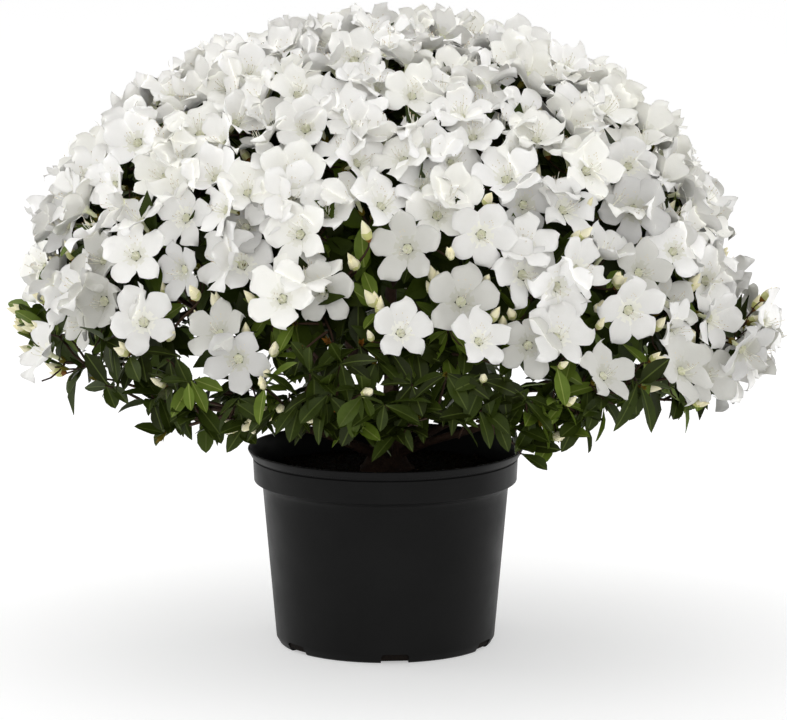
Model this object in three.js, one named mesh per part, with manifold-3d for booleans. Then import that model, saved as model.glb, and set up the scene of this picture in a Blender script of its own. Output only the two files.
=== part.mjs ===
// White azalea shrub in a round nursery pot, in millimetres, +Z up.
// The origin is the middle of the pot's flat underside. +X is the shrub's right and -Y its front.
//
// The pot holds a ball of peat. A short trunk stands on the peat and carries one bough for each mass of
// blossom, and the masses of leaves under the crown grow on stems of their own from the trunk's foot.
// Each mass keeps to its own cell: the space nearer to its seed than to any other mass's seed.
import * as THREE from "three";
import { mergeVertices } from "three/addons/utils/BufferGeometryUtils.js";
import Module from "manifold-3d";

const wasm = await Module();
wasm.setup();

// ---------- driving dimensions ----------

const POT = {
  height: 187,
  rimRadius: 130,
  lipHeight: 8,
  lipFlare: 3.6,
  collarHeight: 29,
  collarDraft: 1,
  coveHeight: 9,
  coveReach: 8.2,
  bodyDraft: 12.6,
  footRound: 4,
  wall: 2,
  floor: 3,
  segments: 36,
};
const DRAIN = { count: 6, width: 26, height: 9, depth: 12, first: -85 };
const SOIL = { edge: 163, crest: 167, crestRadius: 36 };
const CLEAR = 0.3; // between pieces that touch
const CELL_GAP = 0.7; // from a mass to the side of its cell

const CROWN = {
  centre: new THREE.Vector3(6, 0, 300),
  radius: 354,
  rise: 300, // from the centre to the top
  drop: 190, // from the centre down, were the crown closed below
  power: 2.1, // of the superellipse that the dome's section follows
  hem: 13, // how far the drooping outer sprays stand past the dome
  hemDepth: 34,
};

const TRUNK = { radius: 17, tipRadius: 13.5, flare: 8, height: 62, lean: new THREE.Vector3(5, -3, 0) };

const BLOSSOM = { radius: 38, depth: 31, throat: 12, joint: 9, notch: 0.6, ruffle: 4, spacing: 68 };
const LEAF = { length: 52, width: 18, thickness: 2.4 };
const BUD = { length: 21, width: 10 };
const TWIG = { radius: 3, tipRadius: 1.7 };

// Rings of masses. elevation is the seed's, seen from the crown's centre. start is how high above the trunk's
// foot the ring's limbs leave it, and rise how steeply they do.
const RINGS = [
  { name: "top", count: 1, elevation: 90, phase: 0, start: 0, rise: 0, limb: 6.2, tip: 4 },
  { name: "upper", count: 4, elevation: 46, phase: 40, start: 35, rise: 1.1, limb: 5.4, tip: 3.4 },
  { name: "lower", count: 7, elevation: 12, phase: 12, start: 21, rise: 0.62, limb: 4.8, tip: 3 },
  { name: "under", count: 6, phase: 35, start: 8, limb: 4.2, tip: 2, leafy: true },
];
const SEED_DEPTH = 0.72; // shares of the way out to the dome: where a cell's seed lies,
const HUB_DEPTH = 0.42; // where a bough ends and its mass begins,
const HEART_DEPTH = 0.62; // and where a mass's twigs branch
const UNDER_SEED = { reach: 240, height: 132 };
const UNDER_STEM = [[70, 26], [170, 43], [286, 42]]; // how far out and up from its base it passes
const FRONT = { azimuth: 270, seedLift: 60, stemLift: 30 }; // the crown's lower edge is higher in front
const LIMB = { sides: 5, steps: 5, leaving: 66, arriving: 62, buried: 2 };
const CORE = { share: 0.7, thickness: 0.12, lump: 0.025, width: 150 };
const SEATS = { tried: 3000, lowestSine: -0.27, sway: 0.2, sink: 3, sinkMore: 9, rank: 12, turns: 6 };
const LOW_BLOSSOM = 315; // a blossom lower than this has leaves that hang
const SHOOT = { count: 6, from: 0.34, to: 0.92, shortest: 62, longest: 96, radius: 2.4, tipRadius: 1.6 };
const WHORL = { leaves: 4, pitch: 5, lean: 0.45, droop: 0.18, budShare: 0.3 };
const KEEP_OFF = { limb: 7, rim: 12, rimTop: 3 }; // from a leaf to a limb, to the rim's side and to its top

// ---------- small helpers ----------

const rad = THREE.MathUtils.degToRad;
const lerp = THREE.MathUtils.lerp;
const UP = new THREE.Vector3(0, 0, 1);
const GOLDEN_ANGLE = Math.PI * (3 - Math.sqrt(5));

/** A seeded number from 0 to 1 for item i and use k. */
function chance(i, k) {
  const s = Math.sin(i * 12.9898 + k * 78.233) * 43758.5453;
  return s - Math.floor(s);
}

/** A seeded number from -1 to 1. */
const sway = (i, k) => 2 * chance(i, k) - 1;

/** A geometry's closed surface as a solid that can be joined and cut. */
function solid(geometry) {
  const bare = geometry.clone();
  for (const name of Object.keys(bare.attributes)) {
    if (name !== "position") bare.deleteAttribute(name);
  }
  const merged = mergeVertices(bare, 1e-4);
  const corners = merged.index.array;
  const triangles = [];
  for (let i = 0; i < corners.length; i += 3) {
    const [a, b, c] = corners.slice(i, i + 3);
    if (a !== b && b !== c && c !== a) triangles.push(a, b, c);
  }
  return new wasm.Manifold(
    new wasm.Mesh({
      numProp: 3,
      vertProperties: merged.attributes.position.array,
      triVerts: new Uint32Array(triangles),
    }),
  );
}

/** Joins solids and keeps the main body: a sealed hollow is filled and a loose scrap is dropped. */
function fuse(solids) {
  const joined = solids.reduce((sum, next) => sum.add(next)).simplify(0.02);
  const bodies = joined.decompose().sort((a, b) => b.volume() - a.volume());
  return bodies[0];
}

/** A named mesh of a solid, placed at its own origin. */
function piece(name, made, material, origin = new THREE.Vector3()) {
  const mesh = made.getMesh();
  const positions = new Float32Array(mesh.numVert * 3);
  for (let i = 0; i < mesh.numVert; i++) {
    for (let k = 0; k < 3; k++) {
      positions[3 * i + k] = mesh.vertProperties[i * mesh.numProp + k] - origin.getComponent(k);
    }
  }
  const geometry = new THREE.BufferGeometry();
  geometry.setAttribute("position", new THREE.BufferAttribute(positions, 3));
  geometry.setIndex(new THREE.BufferAttribute(new Uint32Array(mesh.triVerts), 1));
  geometry.computeVertexNormals();
  const placed = new THREE.Mesh(geometry, material);
  placed.name = name;
  placed.position.copy(origin);
  return placed;
}

/** A frame whose Y axis is the given direction, turned about it by roll. */
function frameAlong(direction, roll, at) {
  const turn = new THREE.Quaternion().setFromUnitVectors(new THREE.Vector3(0, 1, 0), direction);
  const spin = new THREE.Quaternion().setFromAxisAngle(new THREE.Vector3(0, 1, 0), roll);
  return new THREE.Matrix4().compose(at, turn.multiply(spin), new THREE.Vector3(1, 1, 1));
}

/** A limb along a curve: a rod's rings carried to the curve, each as wide as radiusAt(share, angle) says. */
function limb(curve, sides, steps, radiusAt) {
  const rod = new THREE.CylinderGeometry(1, 1, 1, sides, steps);
  const frames = curve.computeFrenetFrames(steps);
  const position = rod.attributes.position;
  const point = new THREE.Vector3();
  for (let i = 0; i < position.count; i++) {
    const share = position.getY(i) + 0.5;
    const row = Math.round(share * steps);
    const across = new THREE.Vector2(position.getX(i), position.getZ(i));
    const radius = radiusAt(share, across.angle());
    curve.getPoint(share, point);
    point.addScaledVector(frames.binormals[row], across.x * radius);
    point.addScaledVector(frames.normals[row], across.y * radius);
    position.setXYZ(i, point.x, point.y, point.z);
  }
  return rod;
}

/** A three-sided twig between two points. */
function twig(from, to, radius = TWIG.radius, tip = TWIG.tipRadius) {
  return limb(new THREE.LineCurve3(from, to), 3, 1, (share) => lerp(radius, tip, share));
}

// ---------- pot and peat ----------

const lipZ = POT.height - POT.lipHeight;
const collarZ = POT.height - POT.collarHeight;
const coveZ = collarZ - POT.coveHeight;
const collarTopRadius = POT.rimRadius - POT.lipFlare - 1.2;
const collarFootRadius = collarTopRadius - POT.collarDraft;
const bodyTopRadius = collarFootRadius - POT.coveReach;
const bodyFootRadius = bodyTopRadius - POT.bodyDraft;
const footRadius = bodyFootRadius - 2;

/** A solid turned about the Z axis from a section of radius and height. */
function turned(section, segments) {
  return solid(new THREE.LatheGeometry(section, segments).rotateX(Math.PI / 2));
}

/** The pot: tapered side, stepped collar, flared lip, and drain slots through its foot. */
function pot() {
  const section = new THREE.Path();
  section.moveTo(0, 0);
  section.lineTo(footRadius - POT.footRound, 0);
  section.quadraticCurveTo(footRadius, 0, bodyFootRadius, POT.footRound * 1.6);
  section.lineTo(bodyTopRadius, coveZ);
  section.quadraticCurveTo(collarFootRadius - 1, coveZ + 1.5, collarFootRadius, collarZ);
  section.lineTo(collarTopRadius, lipZ - 0.5);
  section.lineTo(collarTopRadius + 1.2, lipZ + 0.5);
  section.lineTo(POT.rimRadius, POT.height - 1);
  section.lineTo(POT.rimRadius - 0.6, POT.height);
  section.lineTo(POT.rimRadius - POT.wall, POT.height);
  section.lineTo(collarTopRadius - POT.wall, lipZ);
  section.lineTo(collarFootRadius - POT.wall, collarZ);
  section.lineTo(bodyTopRadius - POT.wall, coveZ);
  section.lineTo(bodyFootRadius - POT.wall, POT.floor);
  section.lineTo(0, POT.floor);
  let shell = turned(section.getPoints(2), POT.segments);
  for (let i = 0; i < DRAIN.count; i++) {
    const slot = new THREE.BoxGeometry(2 * DRAIN.depth, DRAIN.width, 2 * DRAIN.height);
    slot.translate(footRadius, 0, 0).rotateZ(rad(DRAIN.first + (360 / DRAIN.count) * i));
    shell = shell.subtract(solid(slot));
  }
  return shell;
}

/** The peat that fills the pot, with a low flat crest for the trunk to stand on. */
function soil() {
  const inset = POT.wall + CLEAR;
  const section = [
    new THREE.Vector2(0, POT.floor + CLEAR),
    new THREE.Vector2(bodyFootRadius - inset, POT.floor + CLEAR),
    new THREE.Vector2(bodyTopRadius - inset, coveZ + CLEAR),
    new THREE.Vector2(collarFootRadius - inset, collarZ + CLEAR),
    new THREE.Vector2(collarFootRadius - inset, SOIL.edge),
    new THREE.Vector2(SOIL.crestRadius, SOIL.crest),
    new THREE.Vector2(0, SOIL.crest),
  ];
  return turned(section, POT.segments);
}

// ---------- the crown's dome and its cells ----------

/** A point of the dome, from the sine of its elevation and its azimuth, at a share of the way out. */
function crownPoint(sine, azimuth, share = 1) {
  const depth = sine >= 0 ? CROWN.rise : CROWN.drop;
  const height = sine * depth;
  const level = Math.pow(1 - Math.pow(Math.abs(sine), CROWN.power), 1 / CROWN.power);
  const hem = CROWN.hem * Math.exp(-Math.pow(height / CROWN.hemDepth, 2));
  const radius = CROWN.radius * level + hem;
  return new THREE.Vector3(radius * Math.cos(azimuth), radius * Math.sin(azimuth), height)
    .multiplyScalar(share)
    .add(CROWN.centre);
}

/** A point's share of the way out from the crown's centre to the dome. */
function crownShare(point) {
  const { x, y, z } = point.clone().sub(CROWN.centre);
  const level = Math.hypot(x, y) / CROWN.radius;
  const height = Math.abs(z) / (z >= 0 ? CROWN.rise : CROWN.drop);
  return Math.pow(Math.pow(level, CROWN.power) + Math.pow(height, CROWN.power), 1 / CROWN.power);
}

/** The way that the dome faces at a point. */
function crownNormal(sine, azimuth) {
  const level = Math.sqrt(Math.max(0, 1 - sine * sine));
  const depth = sine >= 0 ? CROWN.rise : CROWN.drop;
  return new THREE.Vector3(
    (level * Math.cos(azimuth)) / CROWN.radius,
    (level * Math.sin(azimuth)) / CROWN.radius,
    sine / depth,
  ).normalize();
}

/** How far an azimuth is turned to the shrub's front, from 0 at the sides and back to 1. */
function frontness(azimuth) {
  return Math.max(0, Math.cos(azimuth - rad(FRONT.azimuth)));
}

const cells = RINGS.flatMap((ring) =>
  Array.from({ length: ring.count }, (_, i) => {
    const azimuth = rad(ring.phase + (360 / ring.count) * i);
    const sine = Math.sin(rad(ring.elevation ?? 0));
    const { reach, height } = UNDER_SEED;
    const under = new THREE.Vector3(reach * Math.cos(azimuth), reach * Math.sin(azimuth), height);
    under.z += FRONT.seedLift * frontness(azimuth);
    return {
      ring,
      azimuth,
      sine,
      name: ring.count > 1 ? `${ring.name}_${i + 1}` : ring.name,
      seed: ring.leafy ? under : crownPoint(sine, azimuth, SEED_DEPTH),
    };
  }),
);

/** How far a point is inside a cell, from the nearest of the planes that part it from the others. */
function room(cell, point) {
  let least = Infinity;
  for (const other of cells) {
    if (other === cell) continue;
    const across = other.seed.clone().sub(cell.seed);
    const width = across.length();
    const along = point.clone().sub(cell.seed).dot(across) / width;
    least = Math.min(least, width / 2 - along);
  }
  return least - CELL_GAP;
}

/** Whether a whole geometry lies in a cell. */
function fits(cell, geometry) {
  const position = geometry.attributes.position;
  const point = new THREE.Vector3();
  for (let i = 0; i < position.count; i++) {
    if (room(cell, point.fromBufferAttribute(position, i)) < 0) return false;
  }
  return true;
}

// ---------- trunk and boughs ----------

const trunkFoot = new THREE.Vector3(0, 0, SOIL.crest + CLEAR);
const trunkTip = trunkFoot.clone().add(TRUNK.lean).addScaledVector(UP, TRUNK.height);

/** The trunk, cut flat at the peat, and wider by grow all round when it is used to cut what meets it. */
function trunk(grow = 0) {
  const sunk = 6;
  const ends = [trunkFoot.clone().addScaledVector(UP, -sunk), trunkTip.clone().addScaledVector(UP, grow)];
  const radiusAt = (share, angle) => {
    const flare = TRUNK.flare * Math.exp(-share * 9);
    const ribs = 1 + 0.35 * Math.cos(5 * angle) * Math.exp(-share * 5);
    return lerp(TRUNK.radius, TRUNK.tipRadius, share) + flare * ribs + grow;
  };
  const below = new THREE.BoxGeometry(100, 100, 40).translate(0, 0, trunkFoot.z - 20);
  return solid(limb(new THREE.LineCurve3(...ends), 15, 6, radiusAt)).subtract(solid(below));
}

/** The point of the trunk's axis where a ring's limbs leave it. */
function limbBase(ring) {
  const share = ring.start / TRUNK.height;
  return trunkFoot.clone().addScaledVector(TRUNK.lean, share).addScaledVector(UP, ring.start);
}

/** A bough's course from inside the trunk to the hub, where its mass begins, and the mass's heart beyond. */
function boughCourse(cell) {
  const { ring, azimuth, sine } = cell;
  const hub = crownPoint(sine, azimuth, HUB_DEPTH);
  const heart = crownPoint(sine, azimuth, HEART_DEPTH);
  const onward = heart.clone().sub(hub).normalize();
  const isTop = ring.count === 1;
  const base = isTop ? trunkTip.clone().addScaledVector(UP, -LIMB.buried) : limbBase(ring);
  const out = new THREE.Vector3(Math.cos(azimuth), Math.sin(azimuth), ring.rise).normalize();
  const leaving = base.clone().addScaledVector(isTop ? UP : out, LIMB.leaving);
  const arriving = hub.clone().addScaledVector(onward, -LIMB.arriving);
  return { hub, heart, onward, curve: new THREE.CubicBezierCurve3(base, leaving, arriving, hub) };
}

/** The course of an under mass's own stem, which runs out from the trunk's foot low under the crown. */
function underCourse(cell) {
  const out = new THREE.Vector3(Math.cos(cell.azimuth), Math.sin(cell.azimuth), 0);
  const base = limbBase(cell.ring);
  const furthest = UNDER_STEM.at(-1)[0];
  const points = [[0, 0], ...UNDER_STEM].map(([reach, rise]) => {
    const lift = FRONT.stemLift * frontness(cell.azimuth) * (reach / furthest);
    return base.clone().addScaledVector(out, reach).addScaledVector(UP, rise + lift);
  });
  return new THREE.CatmullRomCurve3(points);
}

for (const cell of cells) {
  if (cell.ring.leafy) cell.stem = underCourse(cell);
  else cell.course = boughCourse(cell);
}

/** The centre line of every limb, so that a leaf can be kept off it. */
const limbLines = cells.map((cell) => ({
  cell,
  radius: cell.ring.limb,
  points: (cell.stem ?? cell.course.curve).getPoints(24),
}));

/** Whether a straight piece of some half width stays off the pot and off every limb but its own. */
function clearOfLimbs(cell, from, to, halfWidth) {
  for (let i = 0; i <= 5; i++) {
    const point = from.clone().lerp(to, i / 5);
    const fromAxis = Math.hypot(point.x, point.y);
    const top = POT.height + halfWidth + KEEP_OFF.rimTop;
    if (fromAxis < POT.rimRadius + KEEP_OFF.rim && point.z < top) return false;
    for (const line of limbLines) {
      if (line.cell === cell) continue;
      const near = Math.min(...line.points.map((p) => p.distanceTo(point)));
      if (near < line.radius + halfWidth + KEEP_OFF.limb) return false;
    }
  }
  return true;
}

// ---------- leaves, buds and blossom ----------

/** A leaf: a lozenge with a ridge, growing from its root along a direction. */
function leaf(root, direction, roll, size = 1) {
  const blade = new THREE.OctahedronGeometry(1);
  blade.scale(LEAF.width / 2, LEAF.length / 2, LEAF.thickness / 2).scale(size, size, size);
  blade.translate(0, (LEAF.length / 2) * size, 0);
  return blade.applyMatrix4(frameAlong(direction, roll, root));
}

/** A pointed flower bud. */
function bud(root, direction) {
  const body = new THREE.OctahedronGeometry(1);
  body.scale(BUD.width / 2, BUD.length / 2, BUD.width / 2).translate(0, BUD.length / 2, 0);
  return body.applyMatrix4(frameAlong(direction, 0, root));
}

/** An open blossom: a funnel whose rim is drawn in and out to five lobes, facing along a direction. */
function blossom(centre, direction, roll, item, size = 1) {
  const profile = [
    new THREE.Vector2(0, -BLOSSOM.depth),
    new THREE.Vector2(BLOSSOM.radius, 0),
    new THREE.Vector2(0, -BLOSSOM.throat),
  ];
  const sides = 15;
  const funnel = new THREE.LatheGeometry(profile, sides);
  const position = funnel.attributes.position;
  for (let i = 0; i < position.count; i++) {
    const x = position.getX(i);
    const z = position.getZ(i);
    if (Math.hypot(x, z) < 1) continue;
    const spoke = Math.round((Math.atan2(x, z) / (2 * Math.PI)) * sides + sides) % sides;
    const isNotch = spoke % 3 === 0;
    const reach = isNotch ? BLOSSOM.notch : 1;
    const lift = isNotch ? -7 : BLOSSOM.ruffle * sway(item, spoke + 3);
    position.setXYZ(i, x * reach, lift, z * reach);
  }
  funnel.scale(size, size, size);
  return funnel.applyMatrix4(frameAlong(direction, roll, centre));
}

// ---------- masses ----------

/** Moves a point in from the sides of its cell until it is a given way inside, where a few steps can. */
function drawnIn(cell, point, inside) {
  const moved = point.clone();
  for (let step = 0; step < 12; step++) {
    for (const other of cells) {
      if (other === cell) continue;
      const across = other.seed.clone().sub(cell.seed);
      const width = across.length();
      const along = moved.clone().sub(cell.seed).dot(across) / width;
      const over = along + inside + CELL_GAP - width / 2;
      if (over > 0) moved.addScaledVector(across, -over / width);
    }
  }
  return moved;
}

/** A blossom that fits its cell at some turn, a little smaller at each turn that fails, or null. */
function fittedBlossom(cell, { i, centre, facing }) {
  for (let turn = 0; turn < SEATS.turns; turn++) {
    const size = lerp(0.95, 1.05, chance(i, 6)) * (1 - 0.02 * turn);
    const roll = (chance(i, 5) + turn / (5 * SEATS.turns)) * 2 * Math.PI;
    const form = blossom(centre, facing, roll, i, size);
    if (fits(cell, form)) return form;
  }
  return null;
}

/** The seats of a mass's blossoms: a spiral over the dome, drawn into the cell and thinned from its sides. */
function blossomSeats(cell) {
  const seats = [];
  for (let i = 0; i < SEATS.tried; i++) {
    const sine = lerp(1, SEATS.lowestSine, (i + 0.5) / SEATS.tried);
    const azimuth = i * GOLDEN_ANGLE;
    const facing = crownNormal(sine, azimuth);
    const swayed = new THREE.Vector3(sway(i, 1), sway(i, 2), sway(i, 3)).multiplyScalar(SEATS.sway);
    facing.add(swayed).normalize();
    const sink = SEATS.sink + SEATS.sinkMore * chance(i, 4);
    const dealt = crownPoint(sine, azimuth).addScaledVector(facing, -sink);
    if (room(cell, dealt) < 0) continue;
    const centre = drawnIn(cell, dealt, BLOSSOM.radius * 0.88);
    seats.push({ i, centre, facing, rank: Math.round(room(cell, centre) / SEATS.rank) });
  }
  seats.sort((a, b) => a.rank - b.rank || a.i - b.i);
  const taken = [];
  for (const seat of seats) {
    if (taken.some((other) => other.centre.distanceTo(seat.centre) < BLOSSOM.spacing)) continue;
    const form = fittedBlossom(cell, seat);
    if (form) taken.push({ ...seat, form });
  }
  return taken;
}

/** A mass's core of close twigs and leaves: a cushion bent to the dome and drawn into the cell. */
function coreOf(cell, number) {
  const cushion = new THREE.IcosahedronGeometry(1, 1);
  const frame = frameAlong(cell.course.onward, 0, cell.course.heart);
  const position = cushion.attributes.position;
  const point = new THREE.Vector3();
  for (let i = 0; i < position.count; i++) {
    const u = new THREE.Vector3().fromBufferAttribute(position, i);
    const lump = CORE.lump * Math.sin(7 * u.x + number) * Math.cos(5 * u.z + 2 * number);
    point.set(u.x * CORE.width, 0, u.z * CORE.width).applyMatrix4(frame);
    const share = CORE.share + CORE.thickness * u.y + lump;
    const bent = CROWN.centre.clone().lerp(point, share / crownShare(point));
    position.setXYZ(i, ...drawnIn(cell, bent, 0));
  }
  return cushion;
}

/** A mass of blossom: one stem into a core, twigs out of it, and a blossom with its leaves on each twig. */
function blossomMass(cell, number) {
  const { hub, heart, onward } = cell.course;
  const start = hub.clone().addScaledVector(onward, CLEAR);
  const stem = new THREE.LineCurve3(start, heart);
  const parts = [solid(limb(stem, LIMB.sides, 1, () => cell.ring.tip)), solid(coreOf(cell, number))];
  for (const { i, centre, facing, form } of blossomSeats(cell)) {
    const beside = new THREE.Vector3(sway(i, 31), sway(i, 32), sway(i, 33)).cross(facing);
    const joint = centre.clone().addScaledVector(facing, -BLOSSOM.depth * 0.58);
    joint.add(beside.setLength(BLOSSOM.joint));
    parts.push(solid(twig(heart, joint)), solid(form));
    const inward = heart.clone().sub(joint).normalize();
    const isLow = centre.z < LOW_BLOSSOM;
    const count = Math.round(chance(i, 8) + (isLow ? 1 : -0.3));
    for (let k = 0; k < count; k++) {
      const root = joint.clone().addScaledVector(inward, 14 + 9 * k);
      const turn = (chance(i, 7) + k * 0.4) * 2 * Math.PI;
      const direction = new THREE.Vector3(1, 0, 0).cross(facing).normalize();
      direction.applyAxisAngle(facing, turn).addScaledVector(facing, 0.2);
      direction.addScaledVector(UP, isLow ? -0.6 : 0).normalize();
      const blade = leaf(root, direction, turn);
      if (fits(cell, blade)) parts.push(solid(blade));
    }
  }
  return fuse(parts);
}

/** A whorl of leaves about a twig's end, drooping, with a bud in some. */
function whorl(cell, tip, along, item) {
  const parts = [];
  for (let k = 0; k < WHORL.leaves; k++) {
    const direction = new THREE.Vector3(0, 0, 1).cross(along).normalize();
    direction.applyAxisAngle(along, ((k + chance(item, 9)) / WHORL.leaves) * 2 * Math.PI);
    direction.addScaledVector(along, WHORL.lean).normalize();
    direction.setZ(Math.min(direction.z, 0.1) - WHORL.droop).normalize();
    const root = tip.clone().addScaledVector(along, -3 - WHORL.pitch * k);
    const size = lerp(0.85, 1.05, chance(item, k + 10));
    const end = root.clone().addScaledVector(direction, LEAF.length * size);
    const blade = leaf(root, direction, chance(item, k + 20) * Math.PI, size);
    if (fits(cell, blade) && clearOfLimbs(cell, root, end, LEAF.width / 3)) parts.push(solid(blade));
  }
  if (parts.length && chance(item, 30) < WHORL.budShare) {
    const upward = along.clone().addScaledVector(UP, 0.6).normalize();
    const point = bud(tip.clone().addScaledVector(along, -4), upward);
    if (fits(cell, point)) parts.push(solid(point));
  }
  return parts;
}

/** A mass of leaves under the crown: one long stem from the trunk, side shoots, and a whorl on each. */
function leafMass(cell, number) {
  const stem = limb(cell.stem, LIMB.sides, LIMB.steps, (share) => lerp(cell.ring.limb, cell.ring.tip, share));
  const parts = [solid(stem).subtract(trunk(CLEAR))];
  const item = 5000 + 100 * number;
  parts.push(...whorl(cell, cell.stem.getPoint(1), cell.stem.getTangent(1), item));
  for (let k = 0; k < SHOOT.count; k++) {
    const share = lerp(SHOOT.from, SHOOT.to, (k + 0.5) / SHOOT.count);
    const root = cell.stem.getPoint(share);
    const angle = rad(lerp(42, 74, chance(item, k + 40))) * (k % 2 ? 1 : -1);
    const direction = cell.stem.getTangent(share).applyAxisAngle(UP, angle);
    direction.addScaledVector(UP, lerp(-0.16, 0.16, chance(item, k + 50))).normalize();
    const length = lerp(SHOOT.shortest, SHOOT.longest, chance(item, k + 60)) * lerp(0.75, 1.1, share);
    const tip = root.clone().addScaledVector(direction, length);
    const shoot = twig(root, tip, SHOOT.radius, SHOOT.tipRadius);
    if (!fits(cell, shoot) || !clearOfLimbs(cell, root.clone().lerp(tip, 0.2), tip, 2)) continue;
    parts.push(solid(shoot), ...whorl(cell, tip, direction, item + k + 1));
  }
  return fuse(parts);
}

// ---------- the whole shrub ----------

const MATERIAL = {
  pot: new THREE.MeshStandardMaterial({ name: "pot_plastic", color: 0x1f1f1f, roughness: 0.5, metalness: 0 }),
  soil: new THREE.MeshStandardMaterial({ name: "peat", color: 0x1e140d, roughness: 1, metalness: 0 }),
  bark: new THREE.MeshStandardMaterial({ name: "bark", color: 0x4a3022, roughness: 0.9, metalness: 0 }),
  blossom: new THREE.MeshStandardMaterial({ name: "blossom", color: 0xf4f3ef, roughness: 0.6, metalness: 0 }),
  leaves: new THREE.MeshStandardMaterial({ name: "leaves", color: 0x2c4420, roughness: 0.5, metalness: 0 }),
};

const azalea = new THREE.Group();
azalea.name = "azalea";

const container = new THREE.Group();
container.add(piece("pot", pot(), MATERIAL.pot), piece("soil", soil(), MATERIAL.soil));

const shrub = new THREE.Group();
shrub.add(piece("trunk", trunk(), MATERIAL.bark));
cells.forEach((cell, number) => {
  if (cell.ring.leafy) {
    shrub.add(piece(`leaves_${cell.name}`, leafMass(cell, number), MATERIAL.leaves, cell.stem.getPoint(0)));
    return;
  }
  const { curve, hub } = cell.course;
  const bough = limb(curve, LIMB.sides, LIMB.steps, (share) => lerp(cell.ring.limb, cell.ring.tip, share));
  shrub.add(piece(`bough_${cell.name}`, solid(bough).subtract(trunk(CLEAR)), MATERIAL.bark));
  shrub.add(piece(`blossom_${cell.name}`, blossomMass(cell, number), MATERIAL.blossom, hub));
});

azalea.add(container, shrub);

export default azalea;
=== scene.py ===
"""White azalea shrub in full bloom, built together with its round nursery pot.

Sizes are in millimetres and the meshes are set down in metres, +Z up, with the shrub's front towards -Y.
The limbs, masses and cells follow the same rule as the solids of the frame: a trunk carries one bough for
each mass of blossom, and the masses of leaves under the crown grow on stems of their own. Here the masses
are carried on to finer twigs, leaves, buds and blossoms.
"""

import logging
import math
from dataclasses import dataclass, field
from enum import Enum, IntEnum

import bmesh
import bpy
import numpy as np
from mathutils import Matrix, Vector


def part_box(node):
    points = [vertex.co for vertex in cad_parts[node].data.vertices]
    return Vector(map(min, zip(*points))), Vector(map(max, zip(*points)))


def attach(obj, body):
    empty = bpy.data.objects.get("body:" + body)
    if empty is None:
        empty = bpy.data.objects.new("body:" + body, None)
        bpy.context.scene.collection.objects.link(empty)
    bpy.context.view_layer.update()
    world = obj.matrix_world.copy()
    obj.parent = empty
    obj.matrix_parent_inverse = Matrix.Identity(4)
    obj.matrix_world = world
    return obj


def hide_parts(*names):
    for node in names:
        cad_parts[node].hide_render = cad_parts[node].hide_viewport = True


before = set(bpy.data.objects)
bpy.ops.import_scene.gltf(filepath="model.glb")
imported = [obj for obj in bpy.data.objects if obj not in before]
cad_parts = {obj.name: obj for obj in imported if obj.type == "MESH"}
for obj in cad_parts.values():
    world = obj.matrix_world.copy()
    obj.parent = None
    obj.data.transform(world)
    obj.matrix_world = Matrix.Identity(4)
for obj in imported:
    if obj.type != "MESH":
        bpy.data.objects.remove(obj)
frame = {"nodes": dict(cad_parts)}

LOG = logging.getLogger("azalea")
MM = 0.001
UP = np.array([0.0, 0.0, 1.0])
GOLDEN_ANGLE = math.pi * (3.0 - math.sqrt(5.0))
MOST_TRIANGLES = 200_000


# ---------- numbers and directions ----------


def chance(item: np.ndarray | float, use: np.ndarray | float) -> np.ndarray:
    """Deals a seeded number from 0 to 1.

    Args:
        item: the number of the thing that it is dealt to.
        use: the number of what it is used for.

    Returns:
        The number, or one for each item.
    """
    return np.mod(np.sin(np.asarray(item) * 12.9898 + np.asarray(use) * 78.233) * 43758.5453, 1.0)


def sway(item: np.ndarray | float, use: np.ndarray | float) -> np.ndarray:
    """Deals a seeded number from -1 to 1."""
    return 2.0 * chance(item, use) - 1.0


def sways(item: np.ndarray, first_use: int) -> np.ndarray:
    """Deals each item a seeded vector whose parts run from -1 to 1."""
    return np.stack([sway(item, first_use + k) for k in range(3)], axis=-1)


def any_turn(item: np.ndarray | float, use: np.ndarray | float) -> np.ndarray:
    """Deals a seeded angle all the way round, in radians."""
    return 6.3 * chance(item, use)


def blend(start: float, end: float, share: np.ndarray | float) -> np.ndarray | float:
    """Goes from start to end as the share goes from 0 to 1."""
    return start + (end - start) * share


def unit(vectors: np.ndarray) -> np.ndarray:
    """Brings vectors to length 1."""
    return vectors / np.maximum(np.linalg.norm(vectors, axis=-1, keepdims=True), 1e-9)


def once_round(count: int) -> np.ndarray:
    """Deals equal angles once round, in radians."""
    return np.arange(count) * 2 * math.pi / count


def polar(radius: np.ndarray | float, angle: np.ndarray | float, height: np.ndarray | float) -> np.ndarray:
    """Places points by how far they lie from the Z axis, their azimuth and their height."""
    return np.stack(np.broadcast_arrays(radius * np.cos(angle), radius * np.sin(angle), height), -1)


def about_z(points: np.ndarray, angle: np.ndarray | float) -> np.ndarray:
    """Turns points about the Z axis, all by one angle or each by its own."""
    x, y, z = np.moveaxis(points, -1, 0)
    return np.stack([x * np.cos(angle) - y * np.sin(angle), x * np.sin(angle) + y * np.cos(angle), z], -1)


def frames_along(axis: np.ndarray, hint: np.ndarray) -> np.ndarray:
    """Builds right-handed frames.

    Args:
        axis: the directions of their Z axes, one a row.
        hint: directions that their Y axes lean to.

    Returns:
        One 3 by 3 matrix a row, with the axes as its columns.
    """
    z = unit(axis)
    x = unit(np.cross(hint, z))
    return np.stack([x, np.cross(z, x), z], axis=-1)


def around(axis: np.ndarray, turn: np.ndarray) -> np.ndarray:
    """Gives directions square to each axis, turned about it by an angle from a level start.

    Args:
        axis: one direction a row.
        turn: one angle a row, in radians.

    Returns:
        One unit vector a row.
    """
    z = unit(axis)
    level = unit(np.cross(np.where(np.abs(z[:, 2:]) > 0.95, [1.0, 0.0, 0.0], UP), z))
    return level * np.cos(turn)[:, None] + np.cross(z, level) * np.sin(turn)[:, None]


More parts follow.
